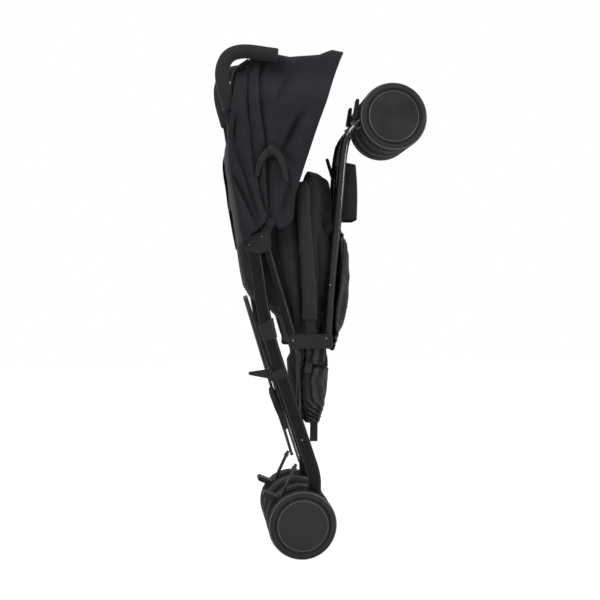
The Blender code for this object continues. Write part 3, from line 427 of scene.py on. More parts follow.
def patched(tree, shade, colour, spread_by, spots, low, high):
    """Let one noise drive the roughness from low to high and the tint by its share of the colour."""
    rough = ramp(tree, spots, "Fac", (low,) * 3, (high,) * 3)
    link(tree, rough, "Color", shade, "Roughness")
    varied(tree, shade, colour, spread_by, spots)


def powder_coat(name, colour):
    """Satin powder coat: fine orange peel, faint scuffs in the roughness."""
    made, tree, shade = shader(name, colour, 0.42, Coat_Weight=0.04, Coat_Roughness=0.35,
                               Specular_IOR_Level=0.28)
    place = coordinates(tree, "Object")
    peel = noise_node(tree, place, 1400.0, 2.0)
    scuff = noise_node(tree, place, 45.0, 6.0, 0.7)
    patched(tree, shade, colour, 0.12, scuff, 0.34, 0.52)
    bump(tree, shade, peel, "Fac", 0.00012, 0.6)
    return made


def gloss_paint(name, colour):
    """Wet-looking black paint under a clear coat, with light dust in the roughness."""
    made, tree, shade = shader(name, colour, 0.22, Coat_Weight=0.6, Coat_Roughness=0.08)
    place = coordinates(tree, "Object")
    dust = noise_node(tree, place, 70.0, 6.0, 0.7)
    patched(tree, shade, colour, 0.15, dust, 0.16, 0.34)
    wave = noise_node(tree, place, 220.0, 2.0)
    bump(tree, shade, wave, "Fac", 0.00008, 0.4)
    return made


def moulded(name, colour, roughness=0.5):
    """Spark-textured plastic: fine cells in the bump, slight flow marks in the colour."""
    made, tree, shade = shader(name, colour, roughness, Specular_IOR_Level=0.4)
    place = coordinates(tree, "Object")
    cells = tree.nodes.new("ShaderNodeTexVoronoi")
    cells.inputs["Scale"].default_value = 1500.0
    link(tree, place, "Vector", cells, "Vector")
    flow = noise_node(tree, place, 30.0, 5.0, 0.6)
    patched(tree, shade, colour, 0.14, flow, roughness - 0.08, roughness + 0.10)
    bump(tree, shade, cells, "Distance", 0.00010, 0.7)
    return made


def foam(name, colour):
    """Closed-cell foam: small soft pores, a little sheen and rubbed patches."""
    made, tree, shade = shader(name, colour, 0.86, Sheen_Weight=0.10, Sheen_Roughness=0.5)
    place = coordinates(tree, "Object")
    pores = tree.nodes.new("ShaderNodeTexVoronoi")
    pores.inputs["Scale"].default_value = 900.0
    link(tree, place, "Vector", pores, "Vector")
    rubbed = noise_node(tree, place, 60.0, 5.0)
    patched(tree, shade, colour, 0.12, rubbed, 0.74, 0.95)
    under = bump(tree, shade, rubbed, "Fac", 0.0004, 0.35)
    bump(tree, shade, pores, "Distance", 0.00025, 0.6, under)
    return made


def steel(name, colour, metallic=1.0):
    """Drawn wire: streaks along its length, spots where the plating has dulled."""
    made, tree, shade = shader(name, colour, 0.32, metallic)
    place = coordinates(tree, "Object", (1.0, 1.0, 0.05))
    streak = noise_node(tree, place, 900.0, 3.0)
    dull = noise_node(tree, coordinates(tree, "Object"), 90.0, 6.0)
    patched(tree, shade, colour, 0.15, dull, 0.24, 0.50)
    bump(tree, shade, streak, "Fac", 0.00005, 0.6)
    return made


def rubber(name, colour):
    """Tyre compound: matt, a little dusty, with a fine mould grain."""
    made, tree, shade = shader(name, colour, 0.62)
    place = coordinates(tree, "Object")
    dust = noise_node(tree, place, 55.0, 7.0, 0.7)
    grain = noise_node(tree, place, 1600.0, 2.0)
    patched(tree, shade, colour, 0.22, dust, 0.50, 0.78)
    bump(tree, shade, grain, "Fac", 0.00012, 0.6)
    return made


def woven(name, colour, pitch, sheen, roughness=0.9, depth=0.00025, crinkle=0.0012):
    """Plain weave on the cloth's own lengths: two crossed sine bands, mottled yarn, soft creases.

    A band's wave length is 0.314 over the wave node's scale. Painted shade: the base colour is
    multiplied by the share of open sky to the power 2.2, so narrow folds are painted darker.
    """
    made, tree, shade = shader(name, colour, roughness, Sheen_Weight=sheen, Sheen_Roughness=0.45)
    flat = coordinates(tree, "UV")
    bands = []
    for direction in ("X", "Y"):
        wave = tree.nodes.new("ShaderNodeTexWave")
        wave.bands_direction = direction
        wave.inputs["Scale"].default_value = 0.314 / pitch
        wave.inputs["Distortion"].default_value = 0.6
        wave.inputs["Detail"].default_value = 1.0
        link(tree, flat, "Vector", wave, "Vector")
        bands.append(wave)
    thread = tree.nodes.new("ShaderNodeMath")
    thread.operation = "MAXIMUM"
    tree.links.new(bands[0].outputs["Fac"], thread.inputs[0])
    tree.links.new(bands[1].outputs["Fac"], thread.inputs[1])
    place = coordinates(tree, "Object")
    mottle = noise_node(tree, place, 260.0, 6.0, 0.7)
    dark = tuple(c * 0.84 for c in colour)
    light = tuple(c * 1.16 for c in colour)
    tint = ramp(tree, mottle, "Fac", dark, light, 0.35, 0.65)
    # painted shade: ambient occlusion multiplies the base colour, darker in folds and creases
    fold = tree.nodes.new("ShaderNodeAmbientOcclusion")
    fold.samples = 8
    fold.inputs["Distance"].default_value = 0.022
    painted_fold_shade = tree.nodes.new("ShaderNodeMath")
    painted_fold_shade.operation = "POWER"
    painted_fold_shade.inputs[1].default_value = 2.2
    link(tree, fold, "AO", painted_fold_shade, 0)
    shadow = tree.nodes.new("ShaderNodeMix")
    shadow.data_type = "RGBA"
    shadow.blend_type = "MULTIPLY"
    shadow.inputs["Factor"].default_value = 1.0
    tree.links.new(tint.outputs["Color"], shadow.inputs[6])
    tree.links.new(painted_fold_shade.outputs["Value"], shadow.inputs[7])
    tree.links.new(shadow.outputs[2], shade.inputs["Base Color"])
    soft = noise_node(tree, place, 38.0, 4.0, 0.6)
    under = bump(tree, shade, soft, "Fac", crinkle, 0.5)
    bump(tree, shade, thread, "Value", depth, 0.6, under)
    rough = ramp(tree, soft, "Fac", (roughness - 0.1,) * 3, (min(roughness + 0.06, 1.0),) * 3)
    link(tree, rough, "Color", shade, "Roughness")
    return made


# Settings and finishes

class StrollerColours(bpy.types.PropertyGroup):
    """Colours of the finishes, linear."""

    canopy: FloatVectorProperty(name="Canopy cloth", description="Blue charcoal polyester", subtype="COLOR",
                                size=3, default=(0.0098, 0.0112, 0.0152))
    seat: FloatVectorProperty(name="Seat cloth", description="Seat, pads and footrest", subtype="COLOR",
                              size=3, default=(0.0130, 0.0138, 0.0165))
    nylon: FloatVectorProperty(name="Basket nylon", description="Thin shiny nylon", subtype="COLOR", size=3,
                               default=(0.0150, 0.0150, 0.0162))
    foam: FloatVectorProperty(name="Grip foam", description="Crook handles", subtype="COLOR", size=3,
                              default=(0.0125, 0.0125, 0.0123))
    coat: FloatVectorProperty(name="Frame coat", description="Satin tubes", subtype="COLOR", size=3,
                              default=(0.0038, 0.0038, 0.0039))
    plastic: FloatVectorProperty(name="Plastic", description="Brackets, forks and levers", subtype="COLOR",
                                 size=3, default=(0.0132, 0.0134, 0.0132))
    tyre: FloatVectorProperty(name="Tyres", description="Wheel treads", subtype="COLOR", size=3,
                              default=(0.0172, 0.0172, 0.0176))
    disc: FloatVectorProperty(name="Wheel discs", description="Wheel caps", subtype="COLOR", size=3,
                              default=(0.0240, 0.0240, 0.0252))


class StrollerSizes(bpy.types.PropertyGroup):
    """Sizes that a user might change."""

    grip: FloatProperty(name="Grip radius", description="Foam sleeve outside", unit="LENGTH", min=0.011,
                        max=0.018, default=0.014)
    weave: FloatProperty(name="Weave pitch", description="From thread to thread", unit="LENGTH", min=0.0004,
                         max=0.004, default=0.0011)
    cloth: FloatProperty(name="Cloth thickness", description="Canopy and seat cloth", unit="LENGTH",
                         min=0.0005, max=0.003, default=CLOTH)
    ribs: IntProperty(name="Wheel ribs", description="Ribs behind each wheel disc", min=4, max=24, default=12)


def colours():
    """The scene's colour settings."""
    return bpy.context.scene.stroller_colours


def sizes():
    """The scene's size settings."""
    return bpy.context.scene.stroller_sizes


FINISHES = {}


def finish(key):
    """The material of one record slot or of a finish used only here, made once."""
    if key not in FINISHES:
        paint = colours()
        pitch = sizes().weave
        makers = {
            "canopy_cloth": lambda: woven("canopy cloth", tuple(paint.canopy), pitch, 0.12),
            "seat_cloth": lambda: woven("seat cloth", tuple(paint.seat), pitch, 0.10),
            "basket_nylon": lambda: woven("basket nylon", tuple(paint.nylon), pitch * 0.6, 0.0, 0.42,
                                          0.00012, 0.0030),
            "webbing": lambda: woven("harness webbing", (0.016, 0.016, 0.017), pitch * 2.2, 0.05, 0.8,
                                     0.0005, 0.0003),
            "pad_cloth": lambda: woven("pad cloth", (0.0185, 0.0180, 0.0186), pitch, 0.10),
            "band_cloth": lambda: woven("band cloth", (0.0072, 0.0073, 0.0080), pitch, 0.06),
            "foam": lambda: foam("grip foam", tuple(paint.foam)),
            "frame_paint": lambda: powder_coat("satin frame coat", tuple(paint.coat)),
            "gloss_paint": lambda: gloss_paint("gloss frame coat", (0.009, 0.009, 0.010)),
            "plastic": lambda: moulded("moulded plastic", tuple(paint.plastic)),
            "steel": lambda: steel("black wire", (0.11, 0.11, 0.115)),
            "bright": lambda: steel("bright rivet", (0.26, 0.26, 0.27)),
            "tyre": lambda: rubber("tyre rubber", tuple(paint.tyre)),
            # painted highlight: a light ring on each tyre shoulder stands in for the shoulder's highlight
            "tyre_highlight_ring": lambda: moulded("painted tyre highlight ring", (0.200, 0.200, 0.206), 0.32),
            "hub": lambda: moulded("wheel disc", tuple(paint.disc), 0.36),
            "wheel_lip": lambda: moulded("wheel lip", (0.16, 0.16, 0.165), 0.30),
        }
        FINISHES[key] = makers[key]()
    return FINISHES[key]


# Tubes

def push_route():
    """The push tube's line from the crook's end to the knee, its corners rounded."""
    return shifted(rounded((CROOK[-2], CROOK[-1], *PUSH_TUBE), 0.060))


def leg_route():
    """The rear leg's line from the hinge to the foot, its corners rounded."""
    return shifted(rounded(REAR_LEG, 0.060))


def front_route():
    """The front leg's line from the knee plate to the caster socket, its corners rounded."""
    return shifted(rounded(FRONT_LEG, 0.050))


class STROLLER_OT_grips(bpy.types.Operator):
    """Foam grips on the crooks"""

    bl_idname = "stroller.grips"
    bl_label = "Grips"

    def execute(self, context):
        """Sweep a circle along the crook, rounded off at its ends and stirred by slow noise."""
        route = shifted(rounded(CROOK, 0.030, 10))
        total = lengths(route)[-1]
        radius = sizes().grip
        s = np.concatenate([[0.0, 0.0, 0.0005, 0.0014, 0.0030], np.linspace(0.006, total - 0.005, 70),
                            [total - 0.0025, total - 0.0008, total]])
        share = np.concatenate([[0.02, 0.80, 0.90, 0.97, 1.0], np.full(70, 1.0), [0.99, 0.95, 0.86]])
        swell = 1 + 0.012 * noise(s * 40, s * 0, 4)
        for tag, side in SIDES:
            path = in_lane(at(route, s), MAIN_LANE)
            rings = swept(path, radius * share * swell, radius * share * swell, 36)
            made = fitted(f"grip_foam_{tag}", [(rings, *CAPPED)], side, "foam",
                          f"frame_{tag}", "foam", f"grip_{tag}")
        return {"FINISHED"}


class STROLLER_OT_tubes(bpy.types.Operator):
    """Push tubes, rear legs and front legs"""

    bl_idname = "stroller.tubes"
    bl_label = "Tubes"

    def execute(self, context):
        """Sweep circles and a superellipse along the three routes, drawn in at their ends."""
        push = push_route()
        push = push[lengths(push) > 0.035]
        push = spread(push, 90)
        last = push[-1] + (push[-1] - push[-2]) / np.linalg.norm(push[-1] - push[-2]) * TUBE_R
        push = np.vstack([push, last[None]])
        leg = leg_route()
        up = (leg[0] - leg[1]) / np.linalg.norm(leg[0] - leg[1]) * REAR_HALF
        leg = spread(np.vstack([leg[0] + up, leg]), 90)
        front = spread(front_route(), 90)[1:-8]
        taper = np.ones(len(push))
        taper[-4:] = (0.96, 0.9, 0.86, 0.72)
        crown = np.ones(len(leg))
        crown[:3] = (0.62, 0.82, 0.94)
        for tag, side in SIDES:
            rings = swept(in_lane(push, MAIN_LANE), TUBE_R * taper, TUBE_R, 32)
            fitted(f"push_tube_coat_{tag}", [(rings, *CAPPED)], side, "frame_paint",
                   f"frame_{tag}", "frame_paint", f"push_tube_{tag}")
            rings = swept(in_lane(leg, MAIN_LANE), REAR_HALF * crown, TUBE_R, 44, 3.2)
            fitted(f"rear_leg_coat_{tag}", [(rings, *CAPPED)], side, "frame_paint",
                   f"rear_frame_{tag}", "frame_paint", f"rear_leg_{tag}")
            rings = swept(in_lane(front, FRONT_LANE), FRONT_R + 0.0005, FRONT_R + 0.0005, 32)
            fitted(f"front_leg_coat_{tag}", [(rings, *CAPPED)], side, "gloss_paint",
                   f"front_frame_{tag}", "gloss_paint")
        return {"FINISHED"}


class STROLLER_OT_fittings(bpy.types.Operator):
    """Collars, rivets, screws and small clips"""

    bl_idname = "stroller.fittings"
    bl_label = "Fittings"

    def execute(self, context):
        """Ring the leg with a flared collar; set rivets, screws and the fold hook."""
        leg = spread(leg_route(), 400)
        z = leg[:, 1]
        part = leg[(z < 0.4697) & (z > 0.4314)]
        for tag, side in SIDES:
            rings = [swept(in_lane(part, MAIN_LANE), REAR_HALF + grow, TUBE_R + grow, 44, 3.2)
                     for grow in (0.0003, 0.0022)]
            outer, inner = rings[1][::4], rings[0][::4]
            lift = outer[..., 0] - part[::4, None, 0]
            fade = np.linspace(1, 0, len(outer))[:, None]
            slope = np.stack([lift * 0, lift * 0, lift * 0.28 * fade], axis=2)
            grid = np.concatenate([outer + slope, (inner + slope)[::-1]])
            fitted(f"collar_{tag}", [(grid, *RING)], side, "plastic",
                   f"rear_frame_{tag}", "plastic", f"leg_collar_{tag}")
            hinge = [dome(-0.1217, 0.6391, CHEEK_OUT, 0.0019, 0.0012),
                     dome(-0.1471, 0.6221, CHEEK_OUT, 0.0019, 0.0012)]
            fitted(f"bracket_rivets_{tag}", hinge, side, "bright", f"frame_{tag}", "steel")
            knee = [dome(-0.0590, 0.4308, KNEE_OUT, 0.0022, 0.0012),
                    dome(0.0080, 0.4345, KNEE_OUT, 0.0022, 0.0012),
                    dome(0.0446, 0.7208, FRONT_LANE + FRONT_R - 0.0004, 0.0022, 0.0010),
                    dome(0.0225, 0.5427, FRONT_LANE + FRONT_R - 0.0004, 0.0022, 0.0010)]
            fitted(f"front_rivets_{tag}", knee, side, "bright", f"front_frame_{tag}", "steel")
            if tag == "left":
                peg = spread(np.array([[0.0405, 0.7785], [0.0350, 0.7960], [0.0285, 0.8180]]), 16)
                share = np.interp(np.arange(16), [0, 3, 13, 14, 15], [1.0, 0.9, 0.95, 0.80, 0.45])
                rings = swept(in_lane(peg, FRONT_LANE), 0.0042 * share, 0.0042 * share, 20)
                fitted("fold_hook", [(rings, *CAPPED)], side, "plastic",
                       "front_frame_left", "plastic")
            screw = [dome(-0.0405, 0.2310, MAIN_LANE + TUBE_R - 0.0004, 0.0024, 0.0012)]
            fitted(f"leg_screw_{tag}", screw, side, "bright", f"rear_frame_{tag}", "steel")
        return {"FINISHED"}


# Wheels

def tyre_profile(radius, half, middle):
    """Closed (radius, y) loop of a tyre: TYRE_SHAPE on one side and its mirror image on the other."""
    one = [(radius + r, middle + half * y) for r, y in TYRE_SHAPE]
    other = [(radius + r, middle - half * y) for r, y in reversed(TYRE_SHAPE)]
    return one + other


def disc_profile(rim, out, back, boss, way):
    """Half section of a disc as (radius, y): crowned face, groove by the rim, hollow back, boss."""
    return [(0.0, out + way * 0.0016), (0.3 * rim, out + way * 0.0014), (0.7 * rim, out + way * 0.0008),
            (rim - 0.0052, out), (rim - 0.0044, out - way * 0.0012), (rim - 0.0030, out - way * 0.0012),
            (rim - 0.0022, out + way * 0.0003), (rim - 0.0010, out + way * 0.0003),
            (rim, out - way * 0.0012), (rim, back + way * 0.0026), (rim - 0.0030, back + way * 0.0012),
            (rim - 0.0055, back + way * 0.0020), (rim - 0.0075, back + way * 0.0085),
            (0.6 * rim, back + way * 0.0085), (0.020, back + way * 0.0085),
            (0.0130, back + way * 0.0050), (0.0110, boss), (0.0, boss)]


def highlight_ring_profile(radius, middle):
    """Closed (radius, y) square of a tyre's painted highlight ring, light in colour, which clears the
    shoulder by 0.1 to 1.3 mm.
    """
    return [(radius - 0.0028, -(middle - HIGHLIGHT_RING_HALF)), (radius - 0.0018, -(middle - HIGHLIGHT_RING_HALF)),
            (radius - 0.0018, -(middle + HIGHLIGHT_RING_HALF)), (radius - 0.0028, -(middle + HIGHLIGHT_RING_HALF))]


class STROLLER_OT_wheels(bpy.types.Operator):
    """Tyres and wheel discs of the four twin wheels"""

    bl_idname = "stroller.wheels"
    bl_label = "Wheels"

    def execute(self, context):
        """Turn the profiles of tyre, disc, lip and the painted highlight rings about each axle."""
        kinds = (("rear", REAR_AXLE, MAIN_LANE, *REAR_WHEEL), ("front", FRONT_AXLE, FRONT_LANE, *FRONT_WHEEL))
        for kind, axle, lane, radius, width, pitch, fork in kinds:
            centre = (axle[0] + SHIFT, axle[1])
            half, rim = width / 2, radius - TYRE_DEPTH
            count = sizes().ribs
            for tag, side in SIDES:
                discs, lips, highlight_rings = [], [], []
                for place, way in (("inner", -1), ("outer", 1)):
                    middle = lane + way * pitch / 2
                    grid = turned(tyre_profile(radius, half, -middle), centre, 72)
                    fitted(f"{kind}_tyre_{place}_rubber_{tag}", [(grid, *RING)], side, "tyre",
                           f"{kind}_wheels_{tag}", "tyre", f"{kind}_tyre_{place}_{tag}", sharp=50)
                    out, back = middle + way * half, middle - way * half
                    boss = lane + way * (fork / 2 + 0.0006)

                    def ribbed(r, turn, way=way, rim=rim):
                        """Push the disc's back out where the cosine of count turns comes near 1."""
                        strength = np.clip((r - 0.014) / 0.004, 0, 1)
                        strength = strength * np.clip((rim - 0.007 - r) / 0.003, 0, 1)
                        inside = np.arange(len(r))[:, None] > 11
                        rib = np.clip((np.cos(count * turn) - 0.86) / 0.08, 0, 1)
                        return way * 0.0045 * rib * strength * inside

                    profile = [(r, -y) for r, y in disc_profile(rim, out, back, boss, way)]
                    discs.append((turned(profile, centre, 144, lobes=ribbed), *TUBE))
                    lip = [(rim - 0.0056, -(out + way * 0.0001)), (rim - 0.0050, -(out + way * 0.0004)),
                           (rim - 0.0044, -(out - way * 0.0002)), (rim - 0.0050, -(out - way * 0.0006))]
                    lips.append((turned(lip, centre, 96), *RING))
                    for edge in (-1, 1):
                        highlight_ring = highlight_ring_profile(radius, middle + edge * half * HIGHLIGHT_RING_SHARE)
                        highlight_rings.append((turned(highlight_ring, centre, 96), *RING))
                bar = [(0.0, -(lane - fork / 2 - 0.001)), (0.004, -(lane - fork / 2 - 0.001)),
                       (0.004, -(lane + fork / 2 + 0.001)), (0.0, -(lane + fork / 2 + 0.001))]
                discs.append((turned(bar, centre, 24), *TUBE))
                body = f"{kind}_wheels_{tag}"
                fitted(f"{kind}_discs_{tag}", discs, side, "hub", body, "hub", f"{kind}_hubs_{tag}", sharp=35)
                fitted(f"{kind}_disc_lips_{tag}", lips, side, "wheel_lip", body, "hub")
                # painted highlight rings on the tyre shoulders
                fitted(f"{kind}_tyre_highlight_rings_{tag}", highlight_rings, side, "tyre_highlight_ring", body, "tyre")
        return {"FINISHED"}


# Canopy

BOW_REAR = ((-0.1095, 0.672), (-0.1356, 0.786), (-0.1450, 0.852), (-0.1490, 0.924), (-0.1450, 0.988))
BOW_FRONT = ((-0.1060, 0.673), (-0.1134, 0.756), (-0.1169, 0.830), (-0.1261, 0.892), (-0.1289, 0.946),
             (-0.1245, 0.990))
FRONT_EDGE = ((-0.0860, 0.653), (-0.0620, 0.670), (-0.0570, 0.698), (-0.0545, 0.724), (-0.0470, 0.747),
              (-0.0118, 0.854), (0.0066, 0.905), (0.0330, 0.980), (0.0425, 1.0055))
REAR_EDGE = ((-0.1665, 0.620), (-0.1735, 0.655), (-0.1790, 0.686), (-0.1845, 0.718), (-0.1885, 0.750),
             (-0.1935, 0.781), (-0.1945, 0.808), (-0.1870, 0.847), (-0.1840, 0.872))
REAR_EDGE_TOP = ((-0.1830, 0.880), (-0.1805, 0.905), (-0.1775, 0.930), (-0.1735, 0.955), (-0.1690, 0.9700))

# The roof's line: x, and how far it lies above the hood's top row there
ROOF_X = (-0.1245, -0.100, -0.086, -0.062, 0.000, 0.008, 0.024, 0.0425)
ROOF_RISE = (0, 0.0035, 0.0040, -0.0027, -0.0019, 0.0010, 0.0067, 0)

# Folds as x and z of both ends, half width, height outwards
HOOD_FOLDS = ((-0.0417, 0.886, -0.0793, 0.806, 0.008, -0.0110), (-0.028, 0.880, -0.062, 0.795, 0.010, 0.0095),
              (-0.0652, 0.962, -0.0933, 0.906, 0.011, -0.0080), (-0.050, 0.950, -0.080, 0.890, 0.012, 0.0075),
              (-0.010, 0.960, -0.030, 0.905, 0.012, 0.0035), (-0.0813, 0.812, -0.0560, 0.778, 0.008, -0.0080),
              (-0.1074, 0.794, -0.1060, 0.668, 0.0045, -0.0090),
              (-0.0658, 0.748, -0.0850, 0.678, 0.006, -0.0060), (-0.092, 0.790, -0.098, 0.690, 0.006, 0.0045),
              (-0.076, 0.770, -0.090, 0.690, 0.005, 0.0030))
FLAP_FOLDS = ((-0.1850, 0.7720, -0.1330, 0.660, 0.0050, -0.0120),
              (-0.1930, 0.770, -0.1500, 0.660, 0.007, 0.0045),
              (-0.1760, 0.812, -0.1275, 0.672, 0.0055, -0.0100),
              (-0.163, 0.812, -0.120, 0.680, 0.007, 0.0045), (-0.178, 0.800, -0.150, 0.720, 0.008, 0.0045),
              (-0.158, 0.90, -0.150, 0.79, 0.008, 0.0030),
              (-0.1730, 0.872, -0.1760, 0.822, 0.0045, -0.0110),
              (-0.1640, 0.870, -0.1610, 0.820, 0.006, 0.0030), (-0.155, 0.78, -0.119, 0.690, 0.005, -0.0080))


def wall(z):
    """How far out the canopy's side lies: it draws in above the push tube's bend by a smooth step."""
    t = np.clip((z - BEND_Z) / BEND_RISE, 0, 1)
    return WALL + (TOP_WALL - WALL) * t * t * (3 - 2 * t)


def between(left, right, shares):
    """Points at given shares of the way from one curve to another, row by row."""
    return left[:, None] * (1 - shares[None, :, None]) + right[:, None] * shares[None, :, None]


def over_roof(side_grid, lift, drop):
    """Carry the top row of a right-hand wall round a corner and across to the left-hand wall.

    The top row first takes the roof's own line, which dips behind the bow and rises at the visor.
    The corner is a quarter circle, and the roof rises to lift by a sine and sags by drop in waves.
    """
    rise = np.interp(side_grid[-1, :, 0], ROOF_X, ROOF_RISE)
    share = np.linspace(0, 1, len(side_grid))[:, None] ** 8
    side_grid[..., 2] += rise[None] * share
    top = side_grid[-1]
    turns = np.linspace(0, np.pi / 2, 7)[1:]
    radius = 0.016
    front = 0.0075 * np.clip(top[:, 0] / FRONT_EDGE[-1][0], 0, 1) ** 2
    rows = []
    for t in turns:
        x = top[:, 0] + front * math.sin(t)
        y = top[:, 1] + radius * (1 - math.cos(t))
        z = top[:, 2] + radius * math.sin(t)
        rows.append(np.stack([x, y, z], axis=1))
    edge = rows[-1]
    flat = []
    for share in np.linspace(0, 1, 12)[1:]:
        y = edge[:, 1] * (1 - share)
        uneven = 1 + noise(top[:, 0] * 30, share * 5 + top[:, 0] * 0, 9)
        sag = lift * math.sin(share * math.pi / 2) - drop * np.sin(3 * np.pi * share) * uneven
        flat.append(np.stack([edge[:, 0], y, edge[:, 2] + sag], axis=1))
    right = np.concatenate([side_grid, rows, flat])
    left = right[::-1][1:] * np.array([1, -1, 1.0])
    return np.concatenate([right, left])


class STROLLER_OT_canopy(bpy.types.Operator):
    """Canopy: front hood, rear side panels with their flaps, and the back panel"""

    bl_idname = "stroller.canopy"
    bl_label = "Canopy"

    def front_hood(self):
        """The hood from the bow to its front edge, in even shares between those two lines.

        Its distance from the middle plane is the wall, plus the bow's tunnel as half a sine, less
        the sunk seam in front of it, plus the folds, a little noise and the raised hem.
        """
        rows = 64
        rear, mid, edge = curve(BOW_REAR, rows), curve(BOW_FRONT, rows), curve(FRONT_EDGE, rows)
        rear = rear + [0.0015, 0]
        tunnel = between(rear, mid, np.linspace(0, 1, 10))
        panel = between(mid, edge, np.linspace(0, 1, 56))[:, 1:]
        plan = np.concatenate([tunnel, panel], axis=1)
        x, z = plan[..., 0], plan[..., 1]
        out = wall(z)
        share = np.linspace(0, 1, 10)
        open_up = np.clip((z[:, :10] - 0.69) / 0.05, 0, 1)
        out[:, :10] += 0.0042 * np.sin(np.pi * share)[None] * open_up
        sunk = np.array([1.0, 0.8, 0.5, 0.2])[None]
        out[:, 10:14] -= 0.0075 * sunk * np.clip((z[:, 10:14] - 0.70) / 0.04, 0, 1)
        out = out + creased(x, z, HOOD_FOLDS)
        out = out + 0.0016 * noise(x * 50, z * 36, 2) * np.clip((z - 0.69) / 0.05, 0, 1)
        hem = np.zeros(plan.shape[1])
        hem[-5:] = (0.0, 0.0008, 0.0010, 0.0010, 0.0006)
        out = out + hem[None]
        grid = np.stack([x, -out, z], axis=2)
        return over_roof(grid, 0.003, 0.0012)

    def rear_side(self):
        """The rear side panel and its flap, in even shares between the rear edge and the bow.

        Its distance from the middle plane is the wall, a swelling over the push tube, the folds and
        a little noise, with a seam at the bow and a hem at the edge. Below, the rear edge curls in
        behind the tube by the square of its nearness to the edge.
        """
        rear = np.vstack([curve(REAR_EDGE, 34), curve(REAR_EDGE_TOP, 27)])
        bow = curve(BOW_REAR, 200)
        levels = np.interp(rear[:, 1], [rear[0, 1], rear[-1, 1]], [bow[0, 1], bow[-1, 1] - 0.004])
        mid = np.stack([np.interp(levels, bow[:, 1], bow[:, 0]), levels], axis=1)
        plan = between(rear, mid, np.linspace(0, 1, 40))
        x, z = plan[..., 0], plan[..., 1]
        t = np.linspace(0, 1, 40)
        full = np.clip((0.900 - z) / 0.080, 0, 1) * np.clip((1 - t) / 0.22, 0, 1)[None]
        out = wall(z) + 0.0085 * full + creased(x, z, FLAP_FOLDS) + 0.0012 * noise(x * 60, z * 40, 5)
        out = out - 0.0042 * np.exp(-((t - 1.0) / 0.07) ** 2)[None]
        out = out + 0.0009 * np.exp(-((t - 0.05) / 0.04) ** 2)[None]
        out = np.maximum(out, np.where(z > BEND_Z, TOP_WALL + 0.0016, FLAP_OUT))
        curl = np.clip(1 - t / 0.18, 0, 1)[None] ** 2 * np.clip((0.838 - z) / 0.030, 0, 1)
        out = out - (out - 0.064) * curl
        return np.stack([x, -out, z], axis=2)

    def back_panel(self):
        """The panel between the handles and the strip of roof above it, as two grids.

        Each row runs forward to back, round a quarter circle and across to the middle, where sine
        folds with a drifting phase hang, and is mirrored. The top rows draw in towards the roof.
        """
        rows = 50
        z = np.concatenate([np.linspace(0.700, 0.9700, rows), [0.978, 0.984, 0.988, 0.9905]])
        pull = np.concatenate([np.zeros(rows), [0.0025, 0.0065, 0.0110, 0.0170]])
        lean = np.interp(z, [0.70, 0.80, 0.93, 0.97], [-0.1790, -0.1830, -0.1830, -0.1770])
        turn = np.linspace(0, np.pi / 2, 7)
        r, corner = 0.007, 0.018
        half = []
        for x0, up, inset in zip(lean, z, pull):
            edge = BACK_EDGE - inset
            back = x0 + inset
            sx = np.linspace(-0.150, back + r, 8)
            corner_x = back + r * (1 - np.sin(turn[1:]))
            corner_y = -edge + r * (1 - np.cos(turn[1:]))
            across = np.linspace(-edge + r, 0, 12)[1:]
            xs = np.concatenate([sx, corner_x, np.full(11, back)])
            ys = np.concatenate([np.full(8, -edge), corner_y, across])
            phase = 1.2 * noise(ys * 0 + up * 9, ys * 0, 3)
            fold = 0.0028 * np.sin(ys * 2 * np.pi / 0.033 + phase) * (xs <= back + 1e-9)
            half.append(np.stack([xs + fold, ys, np.full(len(xs), up)], axis=1))
        right = np.array(half)
        left = right[:, ::-1][:, 1:] * np.array([1, -1, 1.0])
        whole = np.concatenate([right, left], axis=1)
        top_x = np.linspace(-0.146, -0.166, 8)
        y = np.linspace(-0.0475, 0.0475, 31)
        y_end = BACK_EDGE - corner * (1 - np.cos(turn))
        z_end = -0.016 + 0.016 * np.sin(turn)
        y_all = np.concatenate([-y_end, y[1:-1], y_end[::-1]])
        z_drop = np.concatenate([z_end, np.zeros(29), z_end[::-1]])
        gx, gy = np.meshgrid(top_x, y_all, indexing="ij")
        base = np.interp(gx, [-0.166, -0.146], [0.9905, 1.0045])
        wave = 0.0012 * np.sin(gy * 190) * (np.abs(gy) < 0.045)
        roof = np.stack([gx, gy, base + z_drop[None] + wave], axis=2)
        return whole, roof

    def execute(self, context):
        """Draw the hood, the back panel and the two flaps as open sheets with cloth thickness."""
        cloth = finish("canopy_cloth")
        thick = sizes().cloth
        hood = piece("canopy_hood", [(self.front_hood(), *SHEET)], cloth, 60, thick)
        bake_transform(hood)
        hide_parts("canopy_front_left", "canopy_front_right")
        whole, roof = self.back_panel()
        grids = [(whole, *SHEET), (roof, *SHEET)]
        back = piece("canopy_back", grids, cloth, 60, thick)
        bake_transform(back)
        for tag, side in SIDES:
            made = fitted(f"canopy_flap_{tag}", [(self.rear_side(), *SHEET)], side,
                          "canopy_cloth", f"frame_{tag}", "canopy_cloth", f"canopy_rear_{tag}",
                          sharp=60, thick=thick)
        return {"FINISHED"}


# Canopy stretchers

def arched(points, widths, y0, y1):
    """A flat arm along a curve: its outline runs up one edge and back down the other."""
    path = curve(points, 24)
    width = np.interp(np.linspace(0, 1, 24), np.linspace(0, 1, len(widths)), widths)
    tangent = np.gradient(path, axis=0)
    tangent /= np.linalg.norm(tangent, axis=1)[:, None]
    across = np.stack([-tangent[:, 1], tangent[:, 0]], axis=1)
    cap = np.linspace(-np.pi / 2, np.pi / 2, 9)[1:-1]
    end = path[-1] + width[-1] * (np.cos(cap)[:, None] * tangent[-1] + np.sin(cap)[:, None] * across[-1])
    start = path[0] - width[0] * (np.cos(cap)[:, None] * tangent[0] + np.sin(cap)[:, None] * across[0])
    outline = np.vstack([path - across * width[:, None], end, (path + across * width[:, None])[::-1], start])
    return plate(outline, y0, y1, 0.0007)


